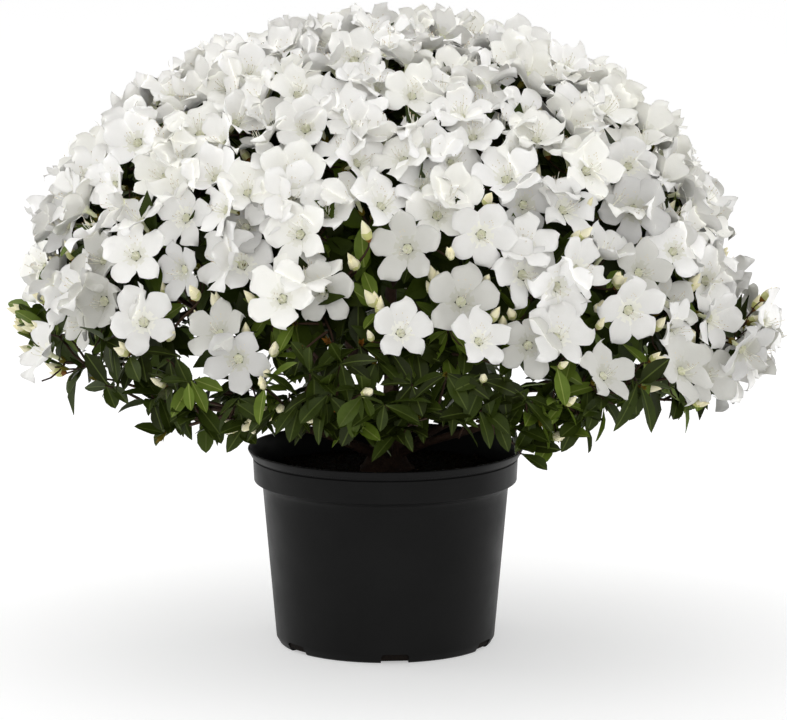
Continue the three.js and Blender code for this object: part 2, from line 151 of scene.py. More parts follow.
def bezier(corners: np.ndarray, share: np.ndarray) -> np.ndarray:
    """Walks cubic Bezier curves.

    Args:
        corners: the four control points of each curve, k by 4 by 3.
        share: how far along to look, the same m shares for every curve or k by m.

    Returns:
        Points, k by m by 3.
    """
    t = np.broadcast_to(share, (len(corners), np.shape(share)[-1]))[..., None]
    a, b, c, d = (corners[:, None, i] for i in range(4))
    return a * (1 - t) ** 3 + 3 * b * t * (1 - t) ** 2 + 3 * c * t * t * (1 - t) + d * t**3


def spline(points: np.ndarray, share: np.ndarray) -> np.ndarray:
    """Walks a smooth curve through points, with knots a root of their distance apart.

    Args:
        points: the points that it passes, one a row.
        share: how far along to look, each from 0 to 1.

    Returns:
        One point a row.
    """
    ends = [2 * points[0] - points[1], *points, 2 * points[-1] - points[-2]]
    found = []
    for s in share:
        leg = min(int(s * (len(points) - 1)), len(points) - 2)
        t = s * (len(points) - 1) - leg
        p0, p1, p2, p3 = ends[leg : leg + 4]
        d0, d1, d2 = (np.linalg.norm(b - a) ** 0.5 for a, b in ((p0, p1), (p1, p2), (p2, p3)))
        m1 = ((p1 - p0) / d0 - (p2 - p0) / (d0 + d1) + (p2 - p1) / d1) * d1
        m2 = ((p2 - p1) / d1 - (p3 - p1) / (d1 + d2) + (p3 - p2) / d2) * d1
        bend = 3 * (p2 - p1) - 2 * m1 - m2
        found.append(p1 + m1 * t + bend * t * t + (2 * (p1 - p2) + m1 + m2) * t**3)
    return np.array(found)


# ---------- meshes ----------


@dataclass(frozen=True)
class Form:
    """A mesh in millimetres.

    A face is four corner numbers, and a triangle names its last corner twice. Each face has a kind, which
    tells what skin it gets.
    """

    points: np.ndarray
    faces: np.ndarray
    kinds: np.ndarray


def joined(forms: list[Form]) -> Form:
    """Joins forms.

    Args:
        forms: those to join, each in its place.

    Returns:
        One form.
    """
    starts = np.cumsum([0] + [len(f.points) for f in forms[:-1]])
    return Form(
        np.concatenate([f.points for f in forms]),
        np.concatenate([f.faces + s for f, s in zip(forms, starts)]),
        np.concatenate([f.kinds for f in forms]),
    )


def sheet_of(points: np.ndarray, kinds: np.ndarray | int = 0, closed: bool = False) -> Form:
    """Makes a sheet of four-cornered faces from rows of points.

    Args:
        points: rows by columns by 3.
        kinds: the kind of each face, or of all.
        closed: whether the last column meets the first.

    Returns:
        The sheet.
    """
    rows, columns = points.shape[:2]
    i, j = np.meshgrid(np.arange(rows - 1), np.arange(columns - (not closed)), indexing="ij")
    k = (j + 1) % columns
    faces = np.stack([i * columns + j, i * columns + k, (i + 1) * columns + k, (i + 1) * columns + j], -1)
    return Form(points.reshape(-1, 3), faces.reshape(-1, 4), np.broadcast_to(kinds, i.shape).reshape(-1))


def turned(profile: np.ndarray, sides: int, kinds: np.ndarray | int = 0) -> Form:
    """Turns a section about the Z axis.

    Args:
        profile: radius and height, one point a row, walked so that the faces look out.
        sides: how many sides the turned form has.
        kinds: the kind of each row of faces, or of all.

    Returns:
        The turned form.
    """
    rings = polar(profile[:, :1], once_round(sides), profile[:, 1:])
    return sheet_of(rings, np.reshape(kinds, (-1, 1)), closed=True)


def tubes(lines: np.ndarray, radii: np.ndarray, sides: int) -> Form:
    """Makes round limbs along lines.

    Args:
        lines: the middle lines, k by m by 3.
        radii: how thick they are there, k by m, or k by m by sides where the skin has a relief.
        sides: how many sides each has.

    Returns:
        All of them as one form.
    """
    count, steps = lines.shape[:2]
    along = unit(np.gradient(lines, axis=1))
    chord = unit(lines[:, -1] - lines[:, 0])
    helper = np.where(np.abs(chord[:, 2:]) > 0.95, [1.0, 0.0, 0.0], UP)
    side = np.cross(chord, helper)[:, None]
    side = unit(side - np.sum(side * along, -1, keepdims=True) * along)
    angle = once_round(sides)[:, None]
    ring = side[:, :, None] * np.cos(angle) + np.cross(along, side)[:, :, None] * np.sin(angle)
    thick = radii if radii.ndim == 3 else radii[:, :, None]
    points = lines[:, :, None] + ring * thick[..., None]
    one = sheet_of(points[0], closed=True)
    starts = (np.arange(count) * steps * sides)[:, None, None]
    return Form(points.reshape(-1, 3), (one.faces[None] + starts).reshape(-1, 4), np.tile(one.kinds, count))


def tapered(lines: np.ndarray, thick: float, thin: float, sides: int = 4) -> Form:
    """Makes twigs along lines.

    Args:
        lines: the middle lines, k by m by 3.
        thick: their radius where they start.
        thin: their radius where they end.
        sides: how many sides each has.

    Returns:
        All of them as one form.
    """
    radii = np.broadcast_to(np.linspace(thick, thin, lines.shape[1]), lines.shape[:2])
    return tubes(lines, radii, sides)


class Sheaf:
    """Forms gathered to become one piece."""

    def __init__(self) -> None:
        """Starts empty."""
        self.points: list[np.ndarray] = []
        self.faces: list[np.ndarray] = []
        self.slots: list[np.ndarray] = []
        self.count = 0

    def add(self, form: Form, slots: np.ndarray | int = 0) -> None:
        """Adds one form where it is.

        Args:
            form: what to add.
            slots: the piece's material slot for each kind of face, or for all.
        """
        self.points.append(form.points)
        self.faces.append(form.faces + self.count)
        self.slots.append(np.broadcast_to(slots, (int(form.kinds.max()) + 1,))[form.kinds])
        self.count += len(form.points)

    def scatter(
        self, form: Form, origins: np.ndarray, turns: np.ndarray, sizes: np.ndarray, slots: np.ndarray
    ) -> None:
        """Sets a form down at many places.

        Args:
            form: what to set down.
            origins: where its own origin comes, one a row.
            turns: its frame at each place, k by 3 by 3.
            sizes: its size at each place.
            slots: for each place, the piece's material slot for each kind of face.
        """
        if not len(origins):
            return
        placed = np.einsum("kij,nj->kni", turns, form.points) * sizes[:, None, None] + origins[:, None]
        starts = self.count + np.arange(len(origins)) * len(form.points)
        self.points.append(placed.reshape(-1, 3))
        self.faces.append((form.faces[None] + starts[:, None, None]).reshape(-1, 4))
        self.slots.append(slots[:, form.kinds].reshape(-1))
        self.count += len(origins) * len(form.points)

    def mesh(self, name: str) -> bpy.types.Mesh:
        """Writes all that was gathered into one mesh, in metres.

        Args:
            name: the mesh's name.

        Returns:
            The mesh, smooth, with a material slot's number for each face.
        """
        points = np.concatenate(self.points) * MM
        faces = np.concatenate(self.faces)
        keep = np.ones(faces.shape, bool)
        keep[:, 3] = faces[:, 3] != faces[:, 2]
        sizes = keep.sum(axis=1)
        corners = faces[keep]
        made = bpy.data.meshes.new(name)
        made.vertices.add(len(points))
        made.vertices.foreach_set("co", points.astype(np.float32).ravel())
        made.loops.add(len(corners))
        made.loops.foreach_set("vertex_index", corners.astype(np.int32))
        made.polygons.add(len(faces))
        made.polygons.foreach_set("loop_start", (np.cumsum(sizes) - sizes).astype(np.int32))
        made.polygons.foreach_set("material_index", np.concatenate(self.slots).astype(np.int32))
        made.polygons.foreach_set("use_smooth", np.ones(len(faces), bool))
        made.update(calc_edges=True)
        made.validate()
        return made


def piece(
    name: str, mesh: bpy.types.Mesh, finishes: list["Finish"], slot: str, *nodes: str
) -> bpy.types.Object:
    """Puts a mesh in the scene as a piece of the shrub.

    Args:
        name: the piece's name.
        mesh: its mesh, in place.
        finishes: the finish for each of its material slots.
        slot: a material slot's name; it is not used.
        nodes: the frame's nodes that it stands for.

    Returns:
        The piece, riding on the body.
    """
    made = bpy.data.objects.new(name, mesh)
    bpy.context.scene.collection.objects.link(made)
    for finish in finishes:
        mesh.materials.append(finish.make())
    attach(made, "root")
    if nodes:
        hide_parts(*nodes)
    triangles = sum(len(p.vertices) - 2 for p in mesh.polygons)
    if triangles >= MOST_TRIANGLES:
        raise ValueError(f"{name} has {triangles} triangles, and a piece has fewer than {MOST_TRIANGLES}")
    LOG.info("%s: %d triangles", name, triangles)
    return made


# ---------- finishes ----------


def linear(code: str) -> tuple[float, float, float, float]:
    """Turns an sRGB hex colour to linear light.

    Args:
        code: six hex digits after a hash.

    Returns:
        Red, green, blue and a full alpha.
    """
    parts = [int(code[i : i + 2], 16) / 255 for i in (1, 3, 5)]
    return (*(c / 12.92 if c <= 0.04045 else ((c + 0.055) / 1.055) ** 2.4 for c in parts), 1.0)


def node(
    tree: bpy.types.NodeTree, kind: str, inputs: dict | None = None, **settings: object
) -> bpy.types.Node:
    """Adds a shader node.

    Args:
        tree: the tree that it goes in.
        kind: the node's type, without the words ShaderNode.
        inputs: for each input, by name or number, a value to set or a socket to link.
        settings: the node's own settings.

    Returns:
        The node.
    """
    made = tree.nodes.new("ShaderNode" + kind)
    for name, value in settings.items():
        setattr(made, name, value)
    for name, value in (inputs or {}).items():
        if isinstance(value, bpy.types.NodeSocket):
            tree.links.new(value, made.inputs[name])
        else:
            made.inputs[name].default_value = value
    return made


def per_metre(size: float) -> float:
    """Turns the size of a pattern's grain, in millimetres, to a texture's scale."""
    return 1.0 / (size * MM)


@dataclass(frozen=True)
class Finish:
    """What every finish has: two colours that it drifts between, and how its skin takes the light.

    The patches of colour, the grain of the skin and the grain's relief are in millimetres.
    """

    name: str
    colour: str
    drift: str
    roughness: float
    patch: float
    grain: float
    relief: float
    ior: float = 1.45
    specular: float = 0.5
    ramp: tuple[float, float] = (0.35, 0.65)

    def make(self) -> bpy.types.Material:
        """Makes the material, or finds it where it was made before.

        Returns:
            The material.
        """
        found = bpy.data.materials.get(self.name)
        if found:
            return found
        material = bpy.data.materials.new(self.name)
        material.use_nodes = True
        tree = material.node_tree
        skin = tree.nodes["Principled BSDF"]
        skin.inputs["Roughness"].default_value = self.roughness
        skin.inputs["IOR"].default_value = self.ior
        skin.inputs["Specular IOR Level"].default_value = self.specular
        place = node(tree, "TexCoord").outputs["Object"]
        tree.links.new(self.colours(tree, place), skin.inputs["Base Color"])
        tree.links.new(self.surface(tree, place), skin.inputs["Normal"])
        material.diffuse_color = linear(self.colour)
        self.extras(tree, skin, place)
        return material

    def colours(self, tree: bpy.types.NodeTree, place: bpy.types.NodeSocket) -> bpy.types.NodeSocket:
        """Drifts softly from the one colour to the other, over patches of the given size.

        Args:
            tree: the material's nodes.
            place: where a point lies on the piece.

        Returns:
            The colour.
        """
        cloud = node(tree, "TexNoise", {"Vector": place, "Scale": per_metre(self.patch), "Detail": 3.0})
        mixed = node(tree, "ValToRGB", {"Fac": cloud.outputs["Fac"]})
        for stop, share, code in zip(mixed.color_ramp.elements, self.ramp, (self.colour, self.drift)):
            stop.position = share
            stop.color = linear(code)
        return mixed.outputs["Color"]

    def surface(self, tree: bpy.types.NodeTree, place: bpy.types.NodeSocket) -> bpy.types.NodeSocket:
        """Gives the skin a fine even grain.

        Args:
            tree: the material's nodes.
            place: where a point lies on the piece.

        Returns:
            The direction that the skin faces.
        """
        cells = node(tree, "TexNoise", {"Vector": place, "Scale": per_metre(self.grain), "Detail": 2.0})
        bump = node(tree, "Bump", {"Height": cells.outputs["Fac"], "Distance": self.relief * MM})
        return bump.outputs["Normal"]

    def extras(self, tree: bpy.types.NodeTree, skin: bpy.types.Node, place: bpy.types.NodeSocket) -> None:
        """Adds what only some finishes have, given the nodes, the shader and a point's place."""


@dataclass(frozen=True)
class Petal(Finish):
    """Fresh petal, grown thin and soft: matte, a faint velvety sheen at its edges, and shallow crinkles.

    The light that comes through its flesh keeps the folds between the lobes from going dark.
    """

    roughness: float = 0.6
    patch: float = 26.0
    grain: float = 3.2
    relief: float = 0.22
    sheen: float = 0.3
    sheen_roughness: float = 0.5
    through: float = 0.6
    spread: float = 5.0
    spread_by_colour: tuple[float, float, float] = (1.0, 1.0, 0.94)

    def extras(self, tree: bpy.types.NodeTree, skin: bpy.types.Node, place: bpy.types.NodeSocket) -> None:
        """Adds the sheen of the fine cells on a petal's skin, and lets light through its thin flesh.

        Args:
            tree: the material's nodes; it is not used.
            skin: its shader.
            place: where a point lies on the piece; it is not used.
        """
        skin.subsurface_method = "BURLEY"
        skin.inputs["Subsurface Weight"].default_value = self.through
        skin.inputs["Subsurface Radius"].default_value = self.spread_by_colour
        skin.inputs["Subsurface Scale"].default_value = self.spread * MM
        skin.inputs["Sheen Weight"].default_value = self.sheen
        skin.inputs["Sheen Roughness"].default_value = self.sheen_roughness


@dataclass(frozen=True)
class Leaf(Finish):
    """Evergreen leaf, leathery and lightly waxed: broad dull highlights over a slightly quilted skin."""

    roughness: float = 0.48
    patch: float = 14.0
    grain: float = 2.4
    relief: float = 0.25
    specular: float = 0.16


@dataclass(frozen=True)
class Bark(Finish):
    """Young azalea bark, thin and flaking: dry reddish brown with greyer strips, and fine cracks along it.

    The cracks are drawn a few times coarser than real ones, so that they show.
    """

    roughness: float = 0.85
    patch: float = 9.0
    grain: float = 2.2
    relief: float = 0.9
    specular: float = 0.25


@dataclass(frozen=True)
class Peat(Finish):
    """Moist milled peat, loose: nearly black brown crumbs with no shine, some of them paler.

    The grain is that of its larger crumbs, because the finer ones wouldn't show.
    """

    roughness: float = 0.95
    patch: float = 5.0
    grain: float = 1.6
    relief: float = 1.4
    specular: float = 0.2


@dataclass(frozen=True)
class MouldedPlastic(Finish):
    """Black polypropylene, blow-moulded: an even satin skin, soft wide highlights and a fine orange peel.

    Hands and trays rub it a little smoother or duller in patches, as wide as handling says.
    """

    roughness: float = 0.42
    patch: float = 60.0
    grain: float = 1.1
    relief: float = 0.05
    ior: float = 1.49
    specular: float = 0.1
    handling: float = 38.0
    smoother: float = 0.05
    duller: float = 0.09

    def extras(self, tree: bpy.types.NodeTree, skin: bpy.types.Node, place: bpy.types.NodeSocket) -> None:
        """Lets the shine vary where hands and trays have rubbed the pot.

        Args:
            tree: the material's nodes.
            skin: its shader.
            place: where a point lies on the piece.
        """
        rubbed = node(tree, "TexNoise", {"Vector": place, "Scale": per_metre(self.handling), "Detail": 5.0})
        ends = {"To Min": self.roughness - self.smoother, "To Max": self.roughness + self.duller}
        ends |= {"From Min": 0.3, "From Max": 0.7}
        shine = node(tree, "MapRange", {"Value": rubbed.outputs["Fac"], **ends})
        tree.links.new(shine.outputs["Result"], skin.inputs["Roughness"])


# A blossom takes one of the first three whites; as painted shade, low ones may take a greyer white, and low,
# sunk ones a darker shaded white.
WHITES = [
    Petal("petal_white", "#f5f4f1", "#f2f1ed"),
    Petal("petal_snow", "#f8f7f5", "#f4f3f0"),
    Petal("petal_milk", "#f2f1ea", "#f6f5f0"),
    Petal("petal_shaded_low", "#e6e5e2", "#e1e0dc"),
    Petal("petal_shaded", "#c8c7c4", "#c3c2bf"),
    Petal("petal_shaded_warm", "#c6c5be", "#cbcac4"),
]
BRIGHT_WHITES, LOW_SHADED_WHITE, FIRST_SHADED = 3, 3, 4
FLUSH = Petal("petal_flush", "#eae9de", "#edece3")
# Painted shade: the greyer flush that the shaded blossoms take.
FLUSH_SHADED = Petal("petal_flush_shaded", "#bebdb1", "#c3c2b7")
THROAT = Petal("petal_throat", "#dedfc2", "#e4e4cc")
TUBE = Petal("petal_tube", "#dcddb6", "#d6d8ac")
FLECK = Petal("petal_fleck", "#d6cbac", "#d3c5a6")
CALYX = Leaf("bud_scale", "#6c5a1c", "#5c5a1c")
RUSSET = Leaf("bud_scale_russet", "#85581f", "#6e471c")
IVORY = Petal("bud_ivory", "#e2dab0", "#e9e3c4")
LIME = Petal("bud_lime", "#b4b562", "#c9c98a")
FILAMENT = Petal("filament_cream", "#e4e2d0", "#e8e6d8")
ANTHER = Petal("anther_brown", "#b9a184", "#c7b294")
# The greens run from dark to fresh: young whorls take fresh ones, and by place leaves take darker greens
# under and inside the crown as painted shade, lighter ones in its gaps as painted light.
DARK_LEAF = Leaf("leaf_dark", "#212808", "#262e0a")
DEEP_LEAF = Leaf("leaf_deep", "#2a350b", "#303c0d")
MID_LEAF = Leaf("leaf_mid", "#38460f", "#3f4e13")
FRESH_AND_LIT_LEAF = Leaf("leaf_fresh_and_lit", "#53651d", "#5e7126")
DARK_RIB = Leaf("leaf_rib_dark", "#434f1f", "#4d5827")
FRESH_AND_LIT_RIB = Leaf("leaf_rib_fresh_and_lit", "#74813a", "#808d46")
TWIG_BARK = Bark("twig_bark", "#33241a", "#3f2d20", relief=0.4)
LIMB_BARK = Bark("limb_bark", "#2c1f17", "#3b2a20")
PEAT = Peat("milled_peat", "#0e0906", "#17100a")
CRUMB = Peat("peat_crumb", "#181009", "#241910")
POT_BLACK = MouldedPlastic("moulded_black_polypropylene", "#111111", "#141414")


# ---------- the pot and its peat ----------


def arc(centre: tuple[float, float], radius: float, start: float, end: float, steps: int) -> list[tuple]:
    """Walks part of a circle in a section.

    Args:
        centre: its middle, as radius and height.
        radius: its size.
        start: the angle that it starts at, in degrees from outwards.
        end: the angle that it ends at.
        steps: how many points it has.

    Returns:
        The points.
    """
    angles = np.radians(np.linspace(start, end, steps))
    return [(centre[0] + radius * math.cos(a), centre[1] + radius * math.sin(a)) for a in angles]


@dataclass
class Pot:
    """The pot: tapered side, rounded foot, cove, stepped collar, flared lip, and drain slots at its foot."""

    height: float
    rim_radius: float
    lip_height: float = 8.0
    lip_flare: float = 3.6
    collar_height: float = 29.0
    collar_draft: float = 1.0
    cove_height: float = 9.0
    cove_reach: float = 8.2
    body_draft: float = 12.6
    foot_round: float = 4.0
    foot_height: float = 6.4
    foot_tuck: float = 2.0
    underside_inset: float = 6.0
    wall: float = 2.0
    floor: float = 3.0
    sides: int = 192
    drains: int = 6
    drain_width: float = 26.0
    drain_height: float = 9.0
    drain_depth: float = 12.0
    drain_first: float = -85.0
    drain_round: float = 3.0
    above_drains: tuple[float, ...] = (0.6, 1.6, 4.0)
    edge: float = 0.9
    groove: float = 1.2
    crease: float = 38.0

    def __post_init__(self) -> None:
        """Works out the radii and heights that the driving sizes give."""
        self.lip_z = self.height - self.lip_height
        self.collar_z = self.height - self.collar_height
        self.cove_z = self.collar_z - self.cove_height
        self.collar_top = self.rim_radius - self.lip_flare - self.groove
        self.collar_foot = self.collar_top - self.collar_draft
        self.body_top = self.collar_foot - self.cove_reach
        self.body_foot = self.body_top - self.body_draft
        self.foot = self.body_foot - self.foot_tuck

    def section(self) -> np.ndarray:
        """Draws the wall's section.

        Returns:
            Radius and height, one point a row, from the middle of the underside out, up, over the lip and
            down inside.
        """
        edge, wall = self.edge, self.wall
        outer = [(0.0, 0.0), (self.foot - self.foot_round - self.underside_inset, 0.0)]
        outer += arc((self.foot - self.foot_round, self.foot_round), self.foot_round, -90, -12, 7)
        outer += [(self.body_foot, self.foot_height)]
        slope = (self.body_top - self.body_foot) / (self.cove_z - self.foot_height)
        for above in self.above_drains:
            rise = self.drain_height + above
            outer += [(self.body_foot + slope * (rise - self.foot_height), rise)]
        # the cove under the collar
        outer += [(self.body_top - 0.6, self.cove_z - 7.0), (self.body_top, self.cove_z)]
        outer += [(self.body_top + 2.4, self.cove_z + 3.2), (self.collar_foot - 2.6, self.collar_z - 3.4)]
        outer += arc((self.collar_foot - edge - 0.4, self.collar_z - 1.0), edge + 0.4, -70, 0, 5)
        # the groove under the lip, and the lip
        outer += [(self.collar_top, self.lip_z - 2.2), (self.collar_top - 0.9, self.lip_z - 1.2)]
        outer += [(self.collar_top - 0.8, self.lip_z - 0.1), (self.collar_top + 1.2, self.lip_z + 0.5)]
        outer += [(self.rim_radius - 0.5, self.height - 2.2)]
        outer += arc((self.rim_radius - edge, self.height - edge), edge, 0, 90, 5)
        inner = arc((self.rim_radius - wall + 0.5, self.height - 0.5), 0.5, 90, 180, 3)
        inner += [(self.collar_top - wall, self.lip_z), (self.collar_foot - wall, self.collar_z)]
        inner += [(self.body_top - wall, self.cove_z), (self.body_foot - wall, self.floor), (0.0, self.floor)]
        return np.array(outer + inner)

    def slot_cutter(self, turn: float) -> Form:
        """Shapes what cuts one drain slot: a bar with a rounded top, lying across the foot.

        Args:
            turn: the slot's place round the pot, in radians.

        Returns:
            A closed bar.
        """
        half, top, soft = self.drain_width / 2, self.drain_height, self.drain_round
        right = arc((half - soft, top - soft), soft, 0, 90, 6)
        left = arc((soft - half, top - soft), soft, 90, 180, 6)
        outline = [(half, -top), *right, *left, (-half, -top)]
        reaches = (self.foot - self.drain_depth, self.foot + self.drain_depth)
        ends = np.array([[(reach, y, z) for y, z in outline] for reach in reaches])
        side = sheet_of(about_z(ends, turn), closed=True)
        count = len(outline)
        fans = [[0, i + 1, i, i] for i in range(1, count - 1)]
        fans += [[count, count + i, count + i + 1, count + i + 1] for i in range(1, count - 1)]
        faces = np.concatenate([side.faces, np.array(fans)])
        return Form(side.points, faces, np.zeros(len(faces), int))

    def build(self) -> bpy.types.Object:
        """Turns the shell, cuts the slots and sets the pot down.

        Returns:
            The pot.
        """
        shell = Sheaf()
        shell.add(turned(self.section(), self.sides))
        cutter = Sheaf()
        for i in range(self.drains):
            cutter.add(self.slot_cutter(math.radians(self.drain_first + 360 / self.drains * i)))
        body = bpy.data.objects.new("pot_shell", shell.mesh("pot_shell"))
        bars = bpy.data.objects.new("pot_slots", cutter.mesh("pot_slots"))
        for made in (body, bars):
            bpy.context.scene.collection.objects.link(made)
            weld(made.data)
        cut = body.modifiers.new("slots", "BOOLEAN")
        cut.operation = "DIFFERENCE"
        cut.object = bars
        cut.solver = "MANIFOLD"
        bpy.context.view_layer.update()
        mesh = bpy.data.meshes.new_from_object(body.evaluated_get(bpy.context.evaluated_depsgraph_get()))
        for made in (body, bars):
            bpy.data.objects.remove(made)
        mesh.materials.clear()
        mesh.set_sharp_from_angle(angle=math.radians(self.crease))
        return piece("nursery_pot", mesh, [POT_BLACK], "pot_plastic", "pot")


def weld(mesh: bpy.types.Mesh, within: float = 0.01) -> None:
    """Merges the points that lie on each other and turns the faces to look out.

    Args:
        mesh: a closed mesh, changed where it is.
        within: how near such points lie.
    """
    work = bmesh.new()
    work.from_mesh(mesh)
    bmesh.ops.remove_doubles(work, verts=work.verts, dist=within * MM)
    bmesh.ops.recalc_face_normals(work, faces=work.faces)
    work.to_mesh(mesh)
    work.free()


@dataclass
class Soil:
    """The ball of peat: a lumpy surface in the pot's collar, with loose crumbs on it."""

    pot: Pot
    edge: float = 163.0
    crest: float = 167.0
    crest_radius: float = 36.0
    clear: float = 0.3
    lump: float = 1.5
    calm_edge: float = 6.0
    crumbs: int = 900
    smallest: float = 1.2
    largest: float = 4.0
    rings: int = 44
    sides: int = 150

    def height_at(self, radius: np.ndarray, angle: np.ndarray) -> np.ndarray:
        """Gives the surface's height: a low crest in the middle and lumps of a few sizes.

        Args:
            radius: how far from the axis.
            angle: the azimuth, in radians.

        Returns:
            Heights above the underside.
        """
        x, y = radius * np.cos(angle), radius * np.sin(angle)
        slope = np.clip((radius - self.crest_radius) / (self.pot.collar_foot - self.crest_radius), 0, 1)
        lumps = np.sin(x * 0.31 + 1.3) * np.cos(y * 0.27) + 0.6 * np.sin(x * 0.77 - y * 0.59)
        lumps = lumps + 0.5 * np.sin(x * 1.31 + y * 1.13 + 0.7) * np.cos(x * 0.93 - y * 1.47)
        calm = 1 - np.exp(-(((radius - self.pot.collar_foot) / self.calm_edge) ** 2))
        return blend(self.crest, self.edge, slope) - self.lump + 0.45 * self.lump * lumps * calm

    def build(self) -> bpy.types.Object:
        """Makes the ball's foot, side and surface, and scatters the crumbs.

        Returns:
            The peat.
        """
        pot, inset = self.pot, self.pot.wall + self.clear
        side = [(0.0, pot.floor + self.clear), (pot.body_foot - inset, pot.floor + self.clear)]
        side += [(pot.body_top - inset, pot.cove_z + self.clear), (pot.collar_foot - inset, pot.collar_z)]
        radius = np.linspace(pot.collar_foot - inset, 0.0, self.rings)[:, None]
        angle = once_round(self.sides)
        sheaf = Sheaf()
        sheaf.add(turned(np.array(side), self.sides))
        sheaf.add(sheet_of(polar(radius, angle, self.height_at(radius, angle)), closed=True))
        item = np.arange(self.crumbs)
        far = np.sqrt(chance(item, 1)) * (pot.collar_foot - inset - self.largest)
        turn = chance(item, 2) * 2 * math.pi
        where = polar(far, turn, self.height_at(far, turn))
        size = blend(self.smallest, self.largest, chance(item, 3) ** 3)
        frames = frames_along(sways(item, 4), sways(item, 8))
        sheaf.scatter(self.crumb(), where, frames, size, np.ones((self.crumbs, 1), int))
        return piece("peat_ball", sheaf.mesh("peat_ball"), [PEAT, CRUMB], "peat", "soil")

    @staticmethod
    def crumb() -> Form:
        """Shapes one rough crumb, about 2 mm across at size 1.

        Returns:
            The crumb, about its own middle.
        """
        profile = np.array([(0.0, -0.7), (0.8, -0.5), (1.1, 0.1), (0.7, 0.6), (0.0, 0.8)])
        form = turned(profile, 5)
        uneven = 1 + 0.25 * sway(np.arange(len(form.points)), 3)
        return Form(form.points * uneven[:, None], form.faces, form.kinds)


# ---------- the crown's dome and its cells ----------


@dataclass(frozen=True)
class Crown:
    """A dome: a superellipse of revolution that swells at its hem, and at a shoulder towards -X."""

    centre: tuple[float, float, float] = (6.0, 0.0, 300.0)
    radius: float = 354.0
    rise: float = 300.0
    drop: float = 190.0
    power: float = 2.1
    hem: float = 13.0
    hem_depth: float = 34.0
    lopsided: float = 0.0
    shoulder: float = 0.0
    shoulder_height: float = 150.0
    shoulder_depth: float = 75.0

    def point(self, sine: np.ndarray | float, azimuth: np.ndarray | float, share: float = 1.0) -> np.ndarray:
        """Finds points of the dome.

        Args:
            sine: the sine of the elevation.
            azimuth: the azimuth, in radians.
            share: how far out from the centre to the dome.

        Returns:
            One point a row, or one point.
        """
        sine, azimuth = np.asarray(sine, float), np.asarray(azimuth, float)
        height = sine * np.where(sine >= 0, self.rise, self.drop)
        level = np.maximum(1 - np.abs(sine) ** self.power, 0) ** (1 / self.power)
        hem = self.hem * (1 + self.lopsided * np.cos(azimuth))
        far = self.radius * level + hem * np.exp(-((height / self.hem_depth) ** 2))
        bulge = np.exp(-(((height - self.shoulder_height) / self.shoulder_depth) ** 2))
        far = far + self.shoulder * bulge * np.maximum(0, -np.cos(azimuth))
        return polar(far, azimuth, height) * share + self.centre

    def normal(self, sine: np.ndarray, azimuth: np.ndarray) -> np.ndarray:
        """Tells which way the dome faces.

        Args:
            sine: the sine of the elevation.
            azimuth: the azimuth, in radians.

        Returns:
            One unit vector a row.
        """
        level = np.sqrt(np.maximum(0, 1 - sine * sine)) / self.radius
        depth = np.where(sine >= 0, self.rise, self.drop)
        return unit(polar(level, azimuth, sine / depth))


@dataclass(frozen=True)
class Ring:
    """A ring of masses: where their seeds lie, and where and how thick their limbs leave the trunk."""

    name: str
    count: int
    elevation: float
    phase: float
    start: float
    rise: float
    limb: float
    tip: float
    leafy: bool = False


RINGS = (
    Ring("top", 1, 90.0, 0.0, 0.0, 0.0, 6.2, 4.0),
    Ring("upper", 4, 46.0, 40.0, 35.0, 1.1, 5.4, 3.4),
    Ring("lower", 7, 12.0, 12.0, 21.0, 0.62, 4.8, 3.0),
    Ring("under", 6, 0.0, 35.0, 8.0, 0.0, 4.2, 2.0, leafy=True),
)


@dataclass
class Trunk:
    """The short trunk: root flare with five ribs, taper and lean, cut flat at the peat."""

    foot: tuple[float, float, float] = (0.0, 0.0, 167.3)
    lean: tuple[float, float, float] = (5.0, -3.0, 0.0)
    radius: float = 17.0
    tip_radius: float = 13.5
    flare: float = 8.0
    height: float = 62.0
    sunk: float = 5.0
    shoulder_foot: float = 9.0
    shoulder_rise: float = 12.0
    ribs: int = 5
    sides: int = 60
    steps: int = 36
    shoulder_steps: int = 10

    def axis(self, rise: float) -> np.ndarray:
        """Finds the point of the trunk's axis at a height above its foot."""
        return np.array(self.foot) + np.array(self.lean) * (rise / self.height) + UP * rise

    def form(self) -> Form:
        """Shapes the trunk with its ribs, its bark's ridges and a rounded shoulder where the boughs leave.

        Returns:
            The trunk, from a little under the peat's crest up.
        """
        straight = self.height - self.shoulder_foot
        shoulder = np.linspace(0, math.pi / 2, self.shoulder_steps)
        rise = np.linspace(-self.sunk, straight, self.steps)
        rise = np.concatenate([rise, straight + self.shoulder_rise * np.sin(shoulder)])
        shrink = np.concatenate([np.ones(self.steps), np.maximum(np.cos(shoulder), 0.02) ** 0.7])
        share = np.clip(rise / self.height, 0, 1)[:, None]
        angle = once_round(self.sides)
        ribs = 1 + 0.35 * np.cos(self.ribs * angle) * np.exp(-share * 5)
        girth = blend(self.radius, self.tip_radius, share) + self.flare * np.exp(-share * 9) * ribs
        strips = np.sin(9 * angle + 3.0 * np.sin(share * 5)) + 0.6 * np.sin(17 * angle - 7 * share)
        girth = (girth + 0.55 * strips + 0.35 * np.sin(31 * angle + 60 * share)) * shrink[:, None]
        axis = np.array([self.axis(r) for r in rise])[:, None]
        return sheet_of(axis + polar(1.0, angle, 0.0) * girth[..., None], closed=True)


@dataclass
class Mass:
    """One mass of the crown and the limb that carries it."""

    ring: Ring
    number: int
    azimuth: float
    name: str
    seed: np.ndarray
    line: np.ndarray
    heart: np.ndarray


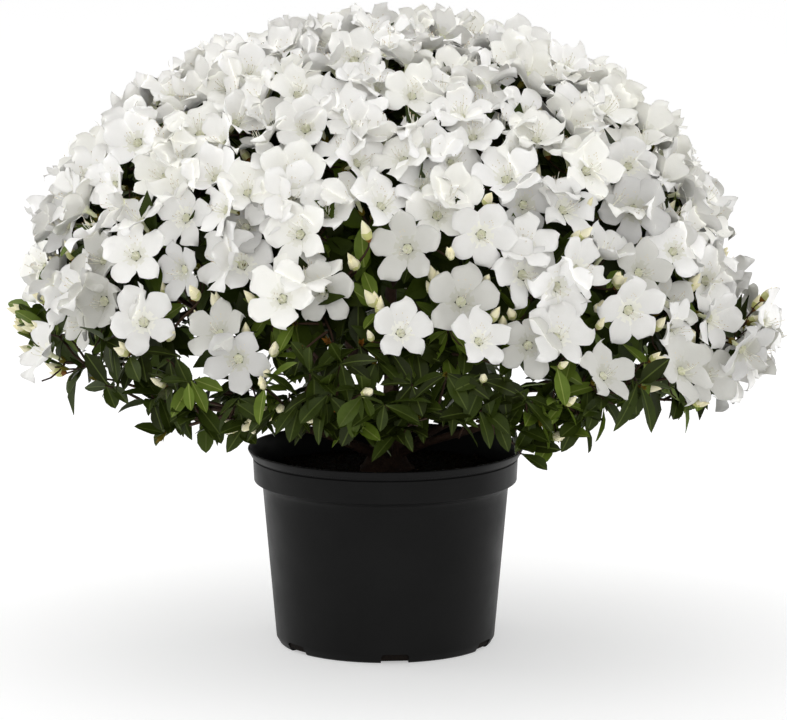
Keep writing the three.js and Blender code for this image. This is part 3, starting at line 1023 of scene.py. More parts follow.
@dataclass
class Frame:
    """The shrub's branching: its masses, their cells, and the limbs that run from the trunk to each."""

    crown: Crown = field(default_factory=Crown)
    trunk: Trunk = field(default_factory=Trunk)
    seed_depth: float = 0.72
    hub_depth: float = 0.42
    heart_depth: float = 0.62
    under_reach: float = 240.0
    under_height: float = 132.0
    under_stem: tuple[tuple[float, float], ...] = ((0, 0), (70, 26), (165, 50), (262, 66))
    front: float = 270.0
    seed_lift: float = 60.0
    stem_lift: float = 30.0
    leaving: float = 66.0
    arriving: float = 62.0
    buried: float = 2.0
    steps: int = 40
    steps_in_mass: int = 9
    limb_sides: int = 12

    def __post_init__(self) -> None:
        """Lays out the masses ring by ring."""
        self.masses: list[Mass] = []
        for ring in RINGS:
            for i in range(ring.count):
                name = f"{ring.name}_{i + 1}" if ring.count > 1 else ring.name
                azimuth = math.radians(ring.phase + 360 / ring.count * i)
                self.masses.append(self.mass(ring, name, azimuth))

    def frontness_of(self, azimuth: np.ndarray) -> np.ndarray:
        """Tells how far azimuths are turned to the shrub's front, from 0 at the sides and back to 1."""
        return np.maximum(0, np.cos(azimuth - math.radians(self.front)))

    def mass(self, ring: Ring, name: str, azimuth: float) -> Mass:
        """Lays out one mass.

        Args:
            ring: its ring.
            name: its name.
            azimuth: its direction from the trunk, in radians.

        Returns:
            The mass with its limb's middle line, from inside the trunk to the mass's heart.
        """
        out = np.array([math.cos(azimuth), math.sin(azimuth), 0.0])
        base = self.trunk.axis(ring.start)
        share = np.linspace(0, 1, self.steps)
        if ring.leafy:
            front = float(self.frontness_of(azimuth))
            seed = out * self.under_reach + UP * (self.under_height + self.seed_lift * front)
            lift = self.stem_lift * front / self.under_stem[-1][0]
            line = spline(np.array([base + out * r + UP * (z + lift * r) for r, z in self.under_stem]), share)
            return Mass(ring, len(self.masses), azimuth, name, seed, line, line[-1])
        sine = math.sin(math.radians(ring.elevation))
        hub = self.crown.point(sine, azimuth, self.hub_depth)
        heart = self.crown.point(sine, azimuth, self.heart_depth)
        is_top = ring.count == 1
        base = self.trunk.axis(self.trunk.height) - UP * self.buried if is_top else base
        leave = UP if is_top else unit(out + UP * ring.rise)
        corners = np.array([base, base + leave * self.leaving, hub - unit(heart - hub) * self.arriving, hub])
        onward = np.linspace(hub, heart, self.steps_in_mass)[1:]
        line = np.concatenate([bezier(corners[None], share)[0], onward])
        seed = self.crown.point(sine, azimuth, self.seed_depth)
        return Mass(ring, len(self.masses), azimuth, name, seed, line, heart)

    def of(self, leafy: bool) -> list[Mass]:
        """Gives the masses of leaves, or else those of blossom."""
        return [m for m in self.masses if m.ring.leafy == leafy]

    def cell_of(self, points: np.ndarray) -> np.ndarray:
        """Tells which mass of blossom each point belongs to, by the nearest seed.

        Args:
            points: one a row.

        Returns:
            The number of the mass for each point.
        """
        blossoming = self.of(leafy=False)
        far = np.linalg.norm(points[:, None] - np.array([m.seed for m in blossoming])[None], axis=-1)
        return np.array([m.number for m in blossoming])[np.argmin(far, axis=1)]

    def build_limbs(self) -> bpy.types.Object:
        """Makes the trunk, the boughs and the long stems under the crown, with their bark's relief.

        Returns:
            All the limbs as one piece.
        """
        sheaf = Sheaf()
        sheaf.add(self.trunk.form())
        angle = once_round(self.limb_sides)
        for mass in self.masses:
            line, ring = mass.line, mass.ring
            share = np.linspace(0, 1, len(line))[:, None]
            collar = 0.45 * np.exp(-share * 16)
            knots = 0.09 * np.exp(-((np.mod(share * 7 + mass.number * 0.37, 1) - 0.5) / 0.1) ** 2)
            strips = 0.07 * np.sin(3 * angle + 9 * share)
            strips = strips + 0.05 * np.sin(7 * angle - 23 * share + mass.number)
            girth = blend(ring.limb, ring.tip, share) * (1 + collar + knots + strips)
            bow = 2.2 * np.sin(share * math.pi) * np.sin(share * 17 + mass.number)
            crooked = line + bow * unit(np.array([math.sin(mass.azimuth), -math.cos(mass.azimuth), 0.4]))
            sheaf.add(tubes(crooked[None], girth[None], self.limb_sides))
        nodes = [f"bough_{m.name}" for m in self.of(leafy=False)]
        return piece("bark_limbs", sheaf.mesh("bark_limbs"), [LIMB_BARK], "bark", "trunk", *nodes)


# ---------- blossom, buds and leaves ----------


class Skin(IntEnum):
    """The kinds of skin on a blossom."""

    LOBE = 0
    FLUSH = 1
    THROAT = 2
    TUBE = 3
    SCALE = 4
    FLECK = 5


class Stage(Enum):
    """How far a blossom has opened: its radius and how far its lobes' tips stand forward."""

    OPEN = (32.5, 3.0)
    FUNNEL = (30.0, 8.0)
    CUPPED = (26.5, 13.0)


@dataclass
class Blossom:
    """A funnel of five lobes that faces +Z, with its upper lobe towards +Y and its rim about the origin."""

    item: int
    stage: Stage = Stage.OPEN
    throat_radius: float = 4.4
    throat_depth: float = 9.0
    tube_depth: float = 27.0
    tube_radius: float = 2.0
    upper_half: float = 12.9
    lower_half: float = 11.6
    widest: float = 0.62
    fused: float = 0.8
    wave: float = 4.9
    reflex: float = 6.0
    tip_uneven: float = 2.6
    trough: float = 1.6
    crimp: float = 1.3
    twist: float = 2.4
    pleat: float = 0.45
    rows: tuple[float, ...] = (0.0, 0.06, 0.14, 0.24, 0.36, 0.48, 0.6, 0.7, 0.79, 0.87, 0.94, 1.0)
    columns: int = 7
    sides: int = 10
    stamens: int = 5
    stamen_rise: tuple[float, float] = (3.0, 8.5)
    stamen_spread: tuple[float, float] = (2.6, 6.4)
    pistil_rise: float = 13.0
    pistil_spread: float = 1.5
    thread: float = 0.32
    anther: tuple[float, float] = (0.5, 0.9)
    flecks_marked: int = 5
    lobe_turns: tuple[float, ...] = (0.0, 70.0, 142.0, 218.0, 290.0)

    def lobe(self, k: int, u: np.ndarray, v: np.ndarray) -> np.ndarray:
        """Walks a lobe's surface.

        Args:
            k: which lobe, from the upper one round.
            u: place across it, from -1 to 1.
            v: place along it, from 0 at the throat to 1 at the tip.

        Returns:
            Points, in the shape of u and v with 3 more.
        """
        seed = self.item * 5 + k
        full, cup = self.stage.value
        reach = full * (1 + 0.07 * sway(seed, 1))
        half = (self.lower_half if k in (2, 3) else self.upper_half) * (1 + 0.1 * sway(seed, 2))
        out = blend(self.throat_radius, reach, v)
        past = np.clip((v - self.widest) / (1 - self.widest), 0, 1)
        point = blend(0.55, 0.95, chance(seed, 14))
        wide = half * np.maximum(1 - past**2, 0.01) ** point * (0.8 + 0.2 * np.clip(v / self.widest, 0, 1))
        wide = wide * (1 + 0.06 * np.sin(13 * v + 5 * chance(seed, 11) + 2 * np.sign(u)))
        wide = np.minimum(wide, out * self.fused)
        free = np.clip((v - 0.4) / 0.6, 0, 1)
        waves = 5.2 * v * (1 + 0.4 * sway(seed, 3)) + any_turn(seed, 4) + 2.1 * u
        ruffle = np.abs(u) ** 1.5 * v * np.sin(waves)
        height = -self.throat_depth * (1 - v) ** 2 + (cup + self.tip_uneven * sway(seed, 5)) * v**1.6
        height = height - self.reflex * chance(seed, 6) * v**5 + self.wave * ruffle * free**0.5
        height = height - self.trough * (1 - u * u) * np.sin(math.pi * v) * chance(seed, 7)
        height = height + self.crimp * np.abs(u) * free * np.sin(12 * v + 6 * chance(seed, 12) + 1.5 * u)
        height = height + u * (0.25 + self.twist * free * sway(seed, 8))
        pleats = self.pleat * np.cos(u * 3 * math.pi) * np.sin(math.pi * v)
        angle = math.radians(self.lobe_turns[k] + 3.0 * sway(seed, 9))
        along = np.array([math.sin(angle), math.cos(angle), 0.0])
        across = np.array([math.cos(angle), -math.sin(angle), 0.0])
        width = wide * (u + 0.06 * np.sin(4 * v + 6 * chance(seed, 10)) * v)
        return out[..., None] * along + width[..., None] * across + (height + pleats)[..., None] * UP

    def corolla(self) -> Form:
        """Shapes the lobes, the throat and tube behind them, the scales at the foot, and the flecks.

        Returns:
            The blossom without its stamens.
        """
        u, v = np.meshgrid(np.linspace(-1, 1, self.columns), self.rows)
        row, column = np.meshgrid(np.arange(len(self.rows) - 1), np.arange(self.columns - 1), indexing="ij")
        tinged = row + 1.6 * chance(row * 7 + column, 13) < 3.0
        kinds = np.where(tinged, Skin.FLUSH, Skin.LOBE)
        forms = [sheet_of(self.lobe(k, u, v), kinds) for k in range(len(self.lobe_turns))]
        depth = self.throat_depth
        profile = [(self.tube_radius, -self.tube_depth), (self.tube_radius, -depth - 7.5)]
        profile += [(self.throat_radius - 1.6, -depth - 2.4), (self.throat_radius + 0.2, -depth + 0.3)]
        forms.append(turned(np.array(profile), self.sides, np.array([Skin.TUBE, Skin.TUBE, Skin.THROAT])))
        plug = np.array([(0.0, -depth - 3.6), (self.throat_radius - 1.2, -depth - 2.0)])
        forms.append(turned(plug, 6, int(Skin.THROAT)))
        forms.append(self.calyx())
        if self.stage is not Stage.CUPPED:
            forms.append(self.flecks())
        return joined(forms)

    def calyx(self) -> Form:
        """Shapes the small scales that hold the tube's foot.

        Returns:
            A cup whose rim is drawn up to a point at every other corner.
        """
        profile = [(0.3, -self.tube_depth - 1.5), (self.tube_radius + 1.1, -self.tube_depth + 1.0)]
        profile += [(self.tube_radius + 1.5, -self.tube_depth + 4.0)]
        cup = turned(np.array(profile), self.sides, int(Skin.SCALE))
        points = cup.points.copy()
        points[2 * self.sides :: 2, 2] += 3.2
        return Form(points, cup.faces, cup.kinds)

    def flecks(self) -> Form:
        """Marks the upper lobe with a few small flecks.

        Returns:
            The flecks, which lie on its skin.
        """
        made = []
        for k in range(self.flecks_marked):
            u0 = 0.55 * sway(self.item, 40 + k)
            v0 = blend(0.2, 0.52, chance(self.item, 60 + k))
            u, v = np.meshgrid([u0 - 0.03, u0 + 0.03], [v0 - 0.018, v0 + 0.018])
            patch = self.lobe(0, u, v) + UP * 0.25
            made.append(sheet_of(patch, int(Skin.FLECK)))
        return joined(made)

    def filaments(self) -> Form:
        """Shapes the stamens and the pistil, which arch out of the throat.

        Returns:
            The threads, of kind 0, and their tips, of kind 1.
        """
        item = self.item * 11 + np.arange(self.stamens + 1)
        turn = (np.arange(self.stamens + 1) + chance(item, 1)) * 2 * math.pi / self.stamens
        out = polar(1.0, turn, 0.0)
        high = blend(*self.stamen_rise, chance(item, 2))
        high[-1] = self.pistil_rise
        spread = blend(*self.stamen_spread, chance(item, 3))
        spread[-1] = self.pistil_spread
        start = out * 0.7 - UP * (self.throat_depth + 8)
        low = out * (spread * 0.5)[:, None] - UP * 5.0 - [0, 2.4, 0]
        bend = out * (spread * 0.9)[:, None] + UP * (high * 0.5)[:, None] - [0, 3.4, 0]
        end = out * spread[:, None] + UP * high[:, None] - [0, 1.0, 0]
        lines = bezier(np.stack([start, low, bend, end], axis=1), np.array([0.0, 0.4, 0.75, 1.0]))
        threads = tubes(lines, np.full(lines.shape[:2], self.thread), 3)
        thick, half = self.anther
        tip = turned(np.array([(0.0, -half), (thick, 0.0), (0.0, half)]), 4)
        tips = [Form(tip.points + e, tip.faces, tip.kinds + 1) for e in end]
        return joined([threads, *tips])


@dataclass
class Bud:
    """A pointed flower bud that grows along +Z, wound a little, with scales at its foot."""

    length: float = 22.0
    radius: float = 4.7
    foot: float = 1.2
    point: float = 0.12
    winding: float = 1.1
    folds: int = 5
    fold: float = 0.09
    sides: int = 10

    def form(self) -> Form:
        """Shapes the bud.

        Returns:
            The bud, whose kind 0 is ivory, 1 its greener foot and 2 its scales.
        """
        share = np.array([0.0, 0.08, 0.2, 0.34, 0.5, 0.66, 0.82, 0.94, 1.0])
        girth = self.radius * 1.1 * np.sin(math.pi * share**0.82) ** 0.85 * (1 - 0.3 * share)
        girth[0], girth[-1] = self.foot, self.point
        kinds = np.array([2, 2, 1, 1, 0, 0, 0, 0])
        form = turned(np.stack([girth, share * self.length], -1), self.sides, kinds)
        points = form.points.copy()
        along = points[:, 2] / self.length
        angle = np.arctan2(points[:, 1], points[:, 0])
        folds = 1 + self.fold * np.cos(self.folds * angle) * np.sin(math.pi * np.clip(along, 0, 1))
        points[:, :2] *= folds[:, None]
        return Form(about_z(points, along * self.winding), form.faces, form.kinds)


class LeafShape(Enum):
    """Outlines of leaves: length, width, where it is widest, and how far its tip droops."""

    ELLIPTIC = (38.0, 15.0, 0.52, 0.16)
    OBOVATE = (33.0, 15.5, 0.62, 0.24)
    NARROW = (45.0, 12.5, 0.5, 0.34)
    SMALL = (24.0, 10.5, 0.56, 0.1)


def leaf_form(shape: LeafShape, item: int, plain: bool = False) -> Form:
    """Shapes a leaf that grows along +Z with its upper side towards +Y.

    Args:
        shape: its outline.
        item: a number that sways its folds.
        plain: whether to make it of fewer faces, with no midrib.

    Returns:
        The leaf, whose kind 0 is its blade and 1 its midrib.
    """
    length, width, widest, droop = shape.value
    share = np.array([0.0, 0.28, 0.62, 1.0] if plain else [0.0, 0.1, 0.3, 0.52, 0.74, 0.91, 1.0])
    peak = math.log(0.5) / math.log(widest)
    half = width / 2 * np.sin(math.pi * share**peak) ** 0.72
    half[0], half[-1] = 0.7, 0.25
    half[1] = half[1] if plain else max(1.1, half[1] * 0.55)
    rib = np.minimum(0.55, half * 0.5)
    across = np.stack([-half, 0 * half, half] if plain else [-half, -rib, rib, half], -1)
    fold = blend(0.18, 0.42, chance(item, 1))
    bend = droop * length * (share**2) * (1 + 0.5 * sway(item, 2))
    rise = np.abs(across) * fold - bend[:, None]
    rise = rise + 0.5 * np.sin(share * 9 + item)[:, None] * np.sign(across) * (np.abs(across) > 1)
    rise[:, 1:-1] -= 0.25
    along = (share * length)[:, None] * (1 - 0.25 * droop * share[:, None])
    points = np.stack([across, rise, along + 0 * across], -1)
    return sheet_of(points, np.array([0, 0] if plain else [0, 1, 0]))


def scale_tuft(count: int = 6) -> Form:
    """Shapes a tuft of small pointed scales that grow along +Z and spread.

    Args:
        count: how many scales it has.

    Returns:
        The tuft.
    """
    blade = leaf_form(LeafShape.SMALL, 5, plain=True)
    scales = []
    for k in range(count):
        lean, size = 0.08 + 0.16 * chance(k, 81), 0.3 + 0.14 * chance(k, 82)
        out = polar(1.0, 1.05 * k, 0.0)
        along = unit(UP + lean * 1.6 * out)
        points = (blade.points * [0.72 * size, size, size]) @ frames_along(along[None], -out[None])[0].T
        scales.append(Form(points, blade.faces, blade.kinds))
    return joined(scales)


# ---------- the dressed crown ----------


@dataclass
class Seats:
    """The places of the blossoms, one a row: number, rim's centre, facing, depth, mass and twig's course."""

    item: np.ndarray
    centre: np.ndarray
    facing: np.ndarray
    sine: np.ndarray
    sunk: np.ndarray
    mass: np.ndarray
    joint: np.ndarray
    corners: np.ndarray


@dataclass
class Foliage:
    """The blossoms, buds, leaves and twigs of all the masses."""

    frame: Frame
    pot: Pot
    # the dome that the blossoms' rims lie on
    dome: Crown = Crown(
        centre=(1.0, 0.0, 300.0),
        radius=336.0,
        rise=288.0,
        hem=24.0,
        hem_depth=27.0,
        lopsided=0.45,
        shoulder=10.0,
    )
    # the trusses: how many are tried, how far apart they stay, and how their blossoms spread and lean
    tried: int = 9000
    lowest_sine: float = -0.3
    truss_top: float = 25.5
    truss_low: float = 80.0
    truss_reach: tuple[float, ...] = (0.0, 8.0, 18.5, 22.5)
    truss_spread: float = 0.48
    lean: float = 0.3
    top_lean: float = 0.5
    closest: float = 23.0
    layers: tuple[float, ...] = (6.0, 13.0, 20.0)
    lapping: float = 54.0
    # how low the blossoms come, as azimuth in degrees and height
    hem: tuple[tuple[float, float], ...] = (
        (0, 276), (60, 262), (120, 262), (180, 282), (200, 298), (215, 318), (235, 352), (243, 350),
        (246, 304), (253, 304), (256, 352), (270, 342), (287, 330), (303, 302), (320, 284), (338, 256),
    )
    hem_waves: float = 5.0
    hem_stray: float = 34.0
    # the blossoms' forms, and the band of heights over which their whites are painted greyer as shade
    opened: int = 11
    cupped: int = 3
    variants: int = 18
    blossom_sizes: tuple[float, float] = (0.87, 1.05)
    shade_top: float = 490.0
    shade_depth: float = 150.0
    # the twigs
    fork_apart: float = 95.0
    fork_share: float = 0.45
    fork_sway: float = 9.0
    twig_radii: tuple[float, float] = (1.9, 1.1)
    shoot_radii: tuple[float, float] = (1.6, 0.8)
    twig_centre: tuple[float, float, float] = (0.0, 0.0, 230.0)
    # the leaves and buds
    low_blossom: float = 315.0
    leaves_a_twig: int = 6
    leaf_reach: float = 36.0
    inner_leaves_a_twig: int = 8
    gaps_tried: int = 3200
    gap_items: int = 20000
    gap_lowest_sine: float = -0.55
    gap_clear: float = 25.0
    gap_apart: float = 22.0
    fringe_apart: tuple[float, float] = (44.0, 20.0)
    fringe_depth: float = 38.0
    bud_chances: tuple[float, ...] = (1.0, 0.65, 0.35)
    # the skirt, which is how low the leaves hang
    skirt_over: float = 203.0
    skirt_aside: float = 180.0
    skirt_rise: float = 0.15
    skirt_radius: float = 285.0
    skirt_lift: tuple[float, float] = (54.0, 42.0)

    def __post_init__(self) -> None:
        """Makes the sheaves that gather each kind."""
        self.petals = {"upper": Sheaf(), "lower_right": Sheaf(), "lower_left": Sheaf()}
        self.stamens = Sheaf()
        self.twigs = Sheaf()
        self.leaves = Sheaf()
        self.under_leaves = Sheaf()
        self.buds = Sheaf()
        self.inner_leaves = Sheaf()
        self.wood: list[np.ndarray] = []
        self.leaf_forms = [leaf_form(shape, i) for i in range(3) for shape in LeafShape]

    def thinned(self, centre: np.ndarray, apart: np.ndarray, order: np.ndarray) -> np.ndarray:
        """Thins places until none is too near another.

        Args:
            centre: the places.
            apart: how far each has to be from those taken before it.
            order: the order that they are tried in.

        Returns:
            The numbers of the places that stay.
        """
        taken = np.zeros((0, 3))
        kept = []
        for i in order:
            if len(kept) and np.min(np.linalg.norm(taken - centre[i], axis=1)) < apart[i]:
                continue
            kept.append(i)
            taken = centre[kept]
        return np.array(kept)

    def layered(self, place: np.ndarray) -> np.ndarray:
        """Deals each blossom a layer, so that those that lap over each other lie at different depths.

        Args:
            place: the places on the dome, in the order that they were taken.

        Returns:
            How far each is sunk.
        """
        depths = np.array(self.layers)
        dealt = np.full(len(place), -1)
        for i in range(len(place)):
            near = np.linalg.norm(place[:i] - place[i], axis=1) < self.lapping
            used = depths[dealt[:i][near]]
            apart = [np.min(np.abs(used - d), initial=99.0) for d in depths]
            dealt[i] = int(np.argmax(np.array(apart) + 2.0 * chance(i, 70 + np.arange(len(depths)))))
        return depths[dealt] + 2.0 * sway(np.arange(len(place)), 75)

    def hem_at(self, azimuth: np.ndarray, item: np.ndarray) -> np.ndarray:
        """Gives how low the blossom comes: higher in front, wavy all round, and here and there lower.

        Args:
            azimuth: where to look, in radians.
            item: the number of what stands there.

        Returns:
            Heights.
        """
        turns, heights = np.array(self.hem).T
        stray = np.where(chance(item, 77) < 0.07, -self.hem_stray, 0.0)
        waves = self.hem_waves * np.sin(7 * azimuth + 0.4) + self.hem_waves * np.sin(12 * azimuth + 2.0)
        return np.interp(np.degrees(azimuth), turns, heights, period=360.0) + waves + stray

    def seats(self) -> Seats:
        """Deals trusses of one to three blossoms over the dome, thinned so that each has room.

        Returns:
            The blossoms' seats, whose twigs have no course yet.
        """
        item = np.arange(self.tried)
        sine = blend(1.0, self.lowest_sine, (item + 0.5) / self.tried)
        azimuth = item * GOLDEN_ANGLE
        crown = self.dome
        truss = crown.point(sine, azimuth)
        height = np.clip((sine - 0.05) / 0.8, 0, 1) ** 0.9
        apart = blend(self.truss_low, self.truss_top, height) * blend(0.88, 1.15, chance(item, 5))
        apart = apart * (1 - 0.3 * np.maximum(0, np.cos(azimuth)) * (1 - height))
        order = np.argsort(chance(item, 6))
        kept = self.thinned(truss, apart, order)
        count = 1 + (chance(kept, 12) < 0.9).astype(int) + (chance(kept, 13) < blend(0.4, 0.7, height[kept]))
        item = np.concatenate([kept * 3 + j for j in range(3)])
        own = np.concatenate([np.flatnonzero(count > j) + j * len(kept) for j in range(3)])
        item, whole = item[own], np.tile(kept, 3)[own]
        outward = crown.normal(sine, azimuth)[whole]
        number = np.tile(count, 3)[own]
        turn = any_turn(whole, 14) + (item % 3) * 2 * math.pi / number + 0.3 * sway(item, 15)
        way = around(outward, turn)
        reach = np.array(self.truss_reach)[number] * blend(0.85, 1.15, chance(item, 17))
        place = truss[whole] + way * reach[:, None]
        lean = blend(self.lean, self.top_lean, height[whole])[:, None]
        facing = outward + self.truss_spread * way + lean * sways(item, 1)
        facing = unit(facing + 0.08 * height[whole, None] * UP)
        low = place[:, 2] < self.hem_at(np.arctan2(place[:, 1], place[:, 0]), whole)
        order = np.argsort(chance(item, 18))
        kept = self.thinned(place, np.full(len(item), self.closest), order[~low[order]])
        item, place, facing, whole = item[kept], place[kept], facing[kept], whole[kept]
        sunk = self.layered(place) * blend(1.0, 0.6, height[whole])
        centre = place - facing * sunk[:, None]
        mass = self.frame.cell_of(centre)
        joint = centre - facing * Blossom.tube_depth
        return Seats(item, centre, facing, sine[whole], sunk, mass, joint, np.zeros((len(kept), 4, 3)))

    def grow_twigs(self, seats: Seats) -> None:
        """Branches each mass from its heart by forks to a twig for every blossom.

        Args:
            seats: the blossoms' seats, whose twigs' courses are filled in.
        """
        for mass in self.frame.of(leafy=False):
            own = np.flatnonzero(seats.mass == mass.number)
            spread = self.thinned(seats.joint[own], np.full(len(own), self.fork_apart), np.arange(len(own)))
            goals = seats.joint[own][spread]
            fork = mass.heart + (goals - mass.heart) * self.fork_share
            fork = fork + self.fork_sway * sways(np.arange(len(fork)) + 50 * mass.number, 3)
            start = np.broadcast_to(mass.heart, fork.shape)
            onward = unit(mass.line[-1] - mass.line[-4])
            limbs = np.stack([start, start + onward * 22, fork - unit(goals - fork) * 22, fork], axis=1)
            lines = bezier(limbs, np.linspace(0, 1, 7))
            self.twigs.add(tapered(lines, mass.ring.tip * 0.85, self.twig_radii[0], 6))
            far = np.linalg.norm(seats.joint[own][:, None] - fork[None], axis=-1)
            root = fork[np.argmin(far, axis=1)]
            joint, facing = seats.joint[own], seats.facing[own]
            reach = np.linalg.norm(joint - root, axis=1)[:, None]
            leave = unit(root - mass.heart + 0.4 * (joint - root))
            seats.corners[own] = np.stack(
                [root, root + leave * reach * 0.35, joint - facing * reach * 0.38, joint], axis=1
            )
        lines = bezier(seats.corners, np.linspace(0, 1, 7))
        self.wood.append(lines[:, 1:5].reshape(-1, 3))
        kink = 1.6 * sways(seats.item[:, None] * 7 + np.arange(7), 20)
        kink[:, [0, -1]] = 0
        self.twigs.add(tapered(lines + kink, *self.twig_radii))

    def add_blossoms(self, seats: Seats) -> None:
        """Sets a blossom on every seat: its form by chance, and its whites by chance, greyer low down and
        where sunk, as painted shade.

        Args:
            seats: the blossoms' seats.
        """
        corollas = [Blossom(i, self.stage_of(i)) for i in range(self.variants)]
        forms = [b.corolla() for b in corollas]
        threads = [b.filaments() for b in corollas]
        item = seats.item
        shut = 0.22 + 0.34 * np.clip(seats.sine, 0, 1)
        first = np.where(chance(item, 46) < shut, self.opened, 0)
        count = np.where(first > 0, self.variants - self.opened, self.opened)
        pick = first + np.floor(chance(item, 7) * count).astype(int)
        roll = 0.5 * sway(item, 8) + np.where(seats.sine > 0.9, any_turn(item, 9), 0)
        turns = frames_along(seats.facing, UP + 0.05 * sways(item, 30))
        spin = np.broadcast_to(np.eye(3), turns.shape)
        turns = turns @ about_z(spin, -roll[:, None])
        sizes = blend(*self.blossom_sizes, chance(item, 10))
        # painted shade: low blossoms, and more of the sunk and front-facing ones, take greyer whites
        low = np.clip((self.shade_top - seats.centre[:, 2]) / self.shade_depth, 0, 1)
        front = np.clip(-seats.facing[:, 1] / 0.7, 0, 1)
        deep = np.clip((seats.sunk - 4.0) / 11.0, 0, 1)
        painted_shade = chance(item, 44) < low * blend(0.3, 1.0, front) * deep
        bright = np.floor(chance(item, 11) * BRIGHT_WHITES)
        white = np.where(chance(item, 47) < 0.85 * low, LOW_SHADED_WHITE, bright)
        shade = np.where(painted_shade, FIRST_SHADED + (chance(item, 45) < 0.5), white).astype(int)
        slots = np.stack([shade] + [np.full(len(item), len(WHITES) + k) for k in range(5)], -1)
        # painted shade: the shaded blossoms take the greyer flush too
        slots[painted_shade, Skin.FLUSH] = len(WHITES) + 5
        side = seats.centre[:, 0] > self.frame.crown.centre[0]
        ring = np.array([self.frame.masses[m].ring.name == "lower" for m in seats.mass])
        group = np.where(~ring, 0, np.where(side, 1, 2))
        for g, name in enumerate(self.petals):
            for k in range(self.variants):
                own = (group == g) & (pick == k)
                args = seats.centre[own], turns[own], sizes[own]
                self.petals[name].scatter(forms[k], *args, slots[own])
        for k in range(self.variants):
            own = pick == k
            pair = np.tile([0, 1], (own.sum(), 1))
            self.stamens.scatter(threads[k], seats.centre[own], turns[own], sizes[own], pair)

    def stage_of(self, variant: int) -> Stage:
        """Tells how far a variant of the blossom has opened: most are open, and the last are not.

        Args:
            variant: its number.

        Returns:
            Its stage.
        """
        if variant < self.opened:
            return Stage.OPEN
        return Stage.FUNNEL if variant < self.variants - self.cupped else Stage.CUPPED

    def set_leaves(
        self,
        sheaf: Sheaf,
        item: np.ndarray,
        root: np.ndarray,
        direction: np.ndarray,
        face: np.ndarray,
        fresh_and_lit: np.ndarray,
        hanging: bool = False,
    ) -> None:
        """Sets leaves down, where they clear the pot and the petals.

        Args:
            sheaf: where they are gathered.
            item: each leaf's number.
            root: where each grows from.
            direction: where each points.
            face: where its upper side looks.
            fresh_and_lit: its green, from 0, darkest, to 1, freshest; low where shade is painted, high where
                light is.
            hanging: whether to use more of the long narrow ones.
        """
        direction = unit(direction)
        clear = self.clear_of_pot(root, root + direction * self.leaf_reach)
        clear &= self.behind_petals(root, root + direction * self.leaf_reach)
        item, root, direction, face, fresh_and_lit = (a[clear] for a in (item, root, direction, face, fresh_and_lit))
        shares = np.cumsum([0.3, 0.2, 0.38, 0.12] if hanging else [0.4, 0.3, 0.12, 0.18])
        shape = np.searchsorted(shares, chance(item, 41))
        pick = np.floor(chance(item, 42) * 3).astype(int) * len(LeafShape) + np.minimum(shape, 3)
        turns = frames_along(direction, face)
        sizes = blend(0.85, 1.14, chance(item, 43))
        shade = np.floor(np.clip(fresh_and_lit * 4, 0, 3.99)).astype(int)
        slots = np.stack([shade, np.where(shade == 3, 5, 4)], -1)
        for k, form in enumerate(self.leaf_forms):
            own = pick == k
            sheaf.scatter(form, root[own], turns[own], sizes[own], slots[own])

    def behind_petals(self, root: np.ndarray, tip: np.ndarray, near: float = 34.0) -> np.ndarray:
        """Tells which straight pieces don't come through or in front of a blossom.

        Args:
            root: where each starts, one a row.
            tip: where each ends.
            near: how near a blossom's axis they are looked at.

        Returns:
            Whether each is clear.
        """
        clear = np.ones(len(root), bool)
        for share in (0.3, 0.6, 0.85, 1.05):
            for block in np.array_split(np.arange(len(root)), len(root) // 400 + 1):
                p = root[block] + (tip[block] - root[block]) * share
                away = p[:, None] - self.centres[None]
                ahead = np.einsum("ijk,jk->ij", away, self.facings)
                aside = np.sqrt(np.maximum(np.sum(away**2, -1) - ahead**2, 0))
                # the funnel's skin lies this far ahead of the rim's centre
                skin = -10.0 * np.clip(1 - (aside - 5.0) / 24.0, 0, 1) ** 2 - 1.0
                clear[block] &= ~np.any((aside < near) & (ahead > skin - 4.5) & (ahead < 24.0), axis=1)
        return clear

    def skirt_at(self, place: np.ndarray) -> np.ndarray:
        """Gives how low the leaves hang: unevenly, and higher over the pot, in front and far out.

        Args:
            place: where to look, one a row.

        Returns:
            Heights.
        """
        x, y = place[:, 0], place[:, 1]
        over = np.hypot(x, 0.35 * y) < 1.15 * self.pot.rim_radius
        turn = np.arctan2(y, x)
        skirt = np.where(over, self.skirt_over, self.skirt_aside) + self.skirt_rise * np.maximum(0, -y)
        skirt = skirt + np.where(x < 0, *self.skirt_lift) * np.clip((np.abs(x) - 150) / 90, 0, 1)
        skirt = skirt + 1.1 * np.maximum(0, np.abs(x) - self.skirt_radius)
        return skirt + 11.0 * np.sin(9 * turn + 1.0) + 8.0 * np.sin(17 * turn)

    def clear_of_pot(self, root: np.ndarray, tip: np.ndarray) -> np.ndarray:
        """Tells which straight pieces stay off the pot's rim and its peat, and above the skirt.

        Args:
            root: where each starts, one a row.
            tip: where each ends.

        Returns:
            Whether each is clear.
        """
        clear = tip[:, 2] > self.skirt_at(tip)
        for share in np.linspace(0, 1, 6):
            p = root + (tip - root) * share
            near = np.hypot(p[:, 0], p[:, 1]) < self.pot.rim_radius + 5
            clear &= ~(near & (p[:, 2] < self.pot.height + 4))
        return clear

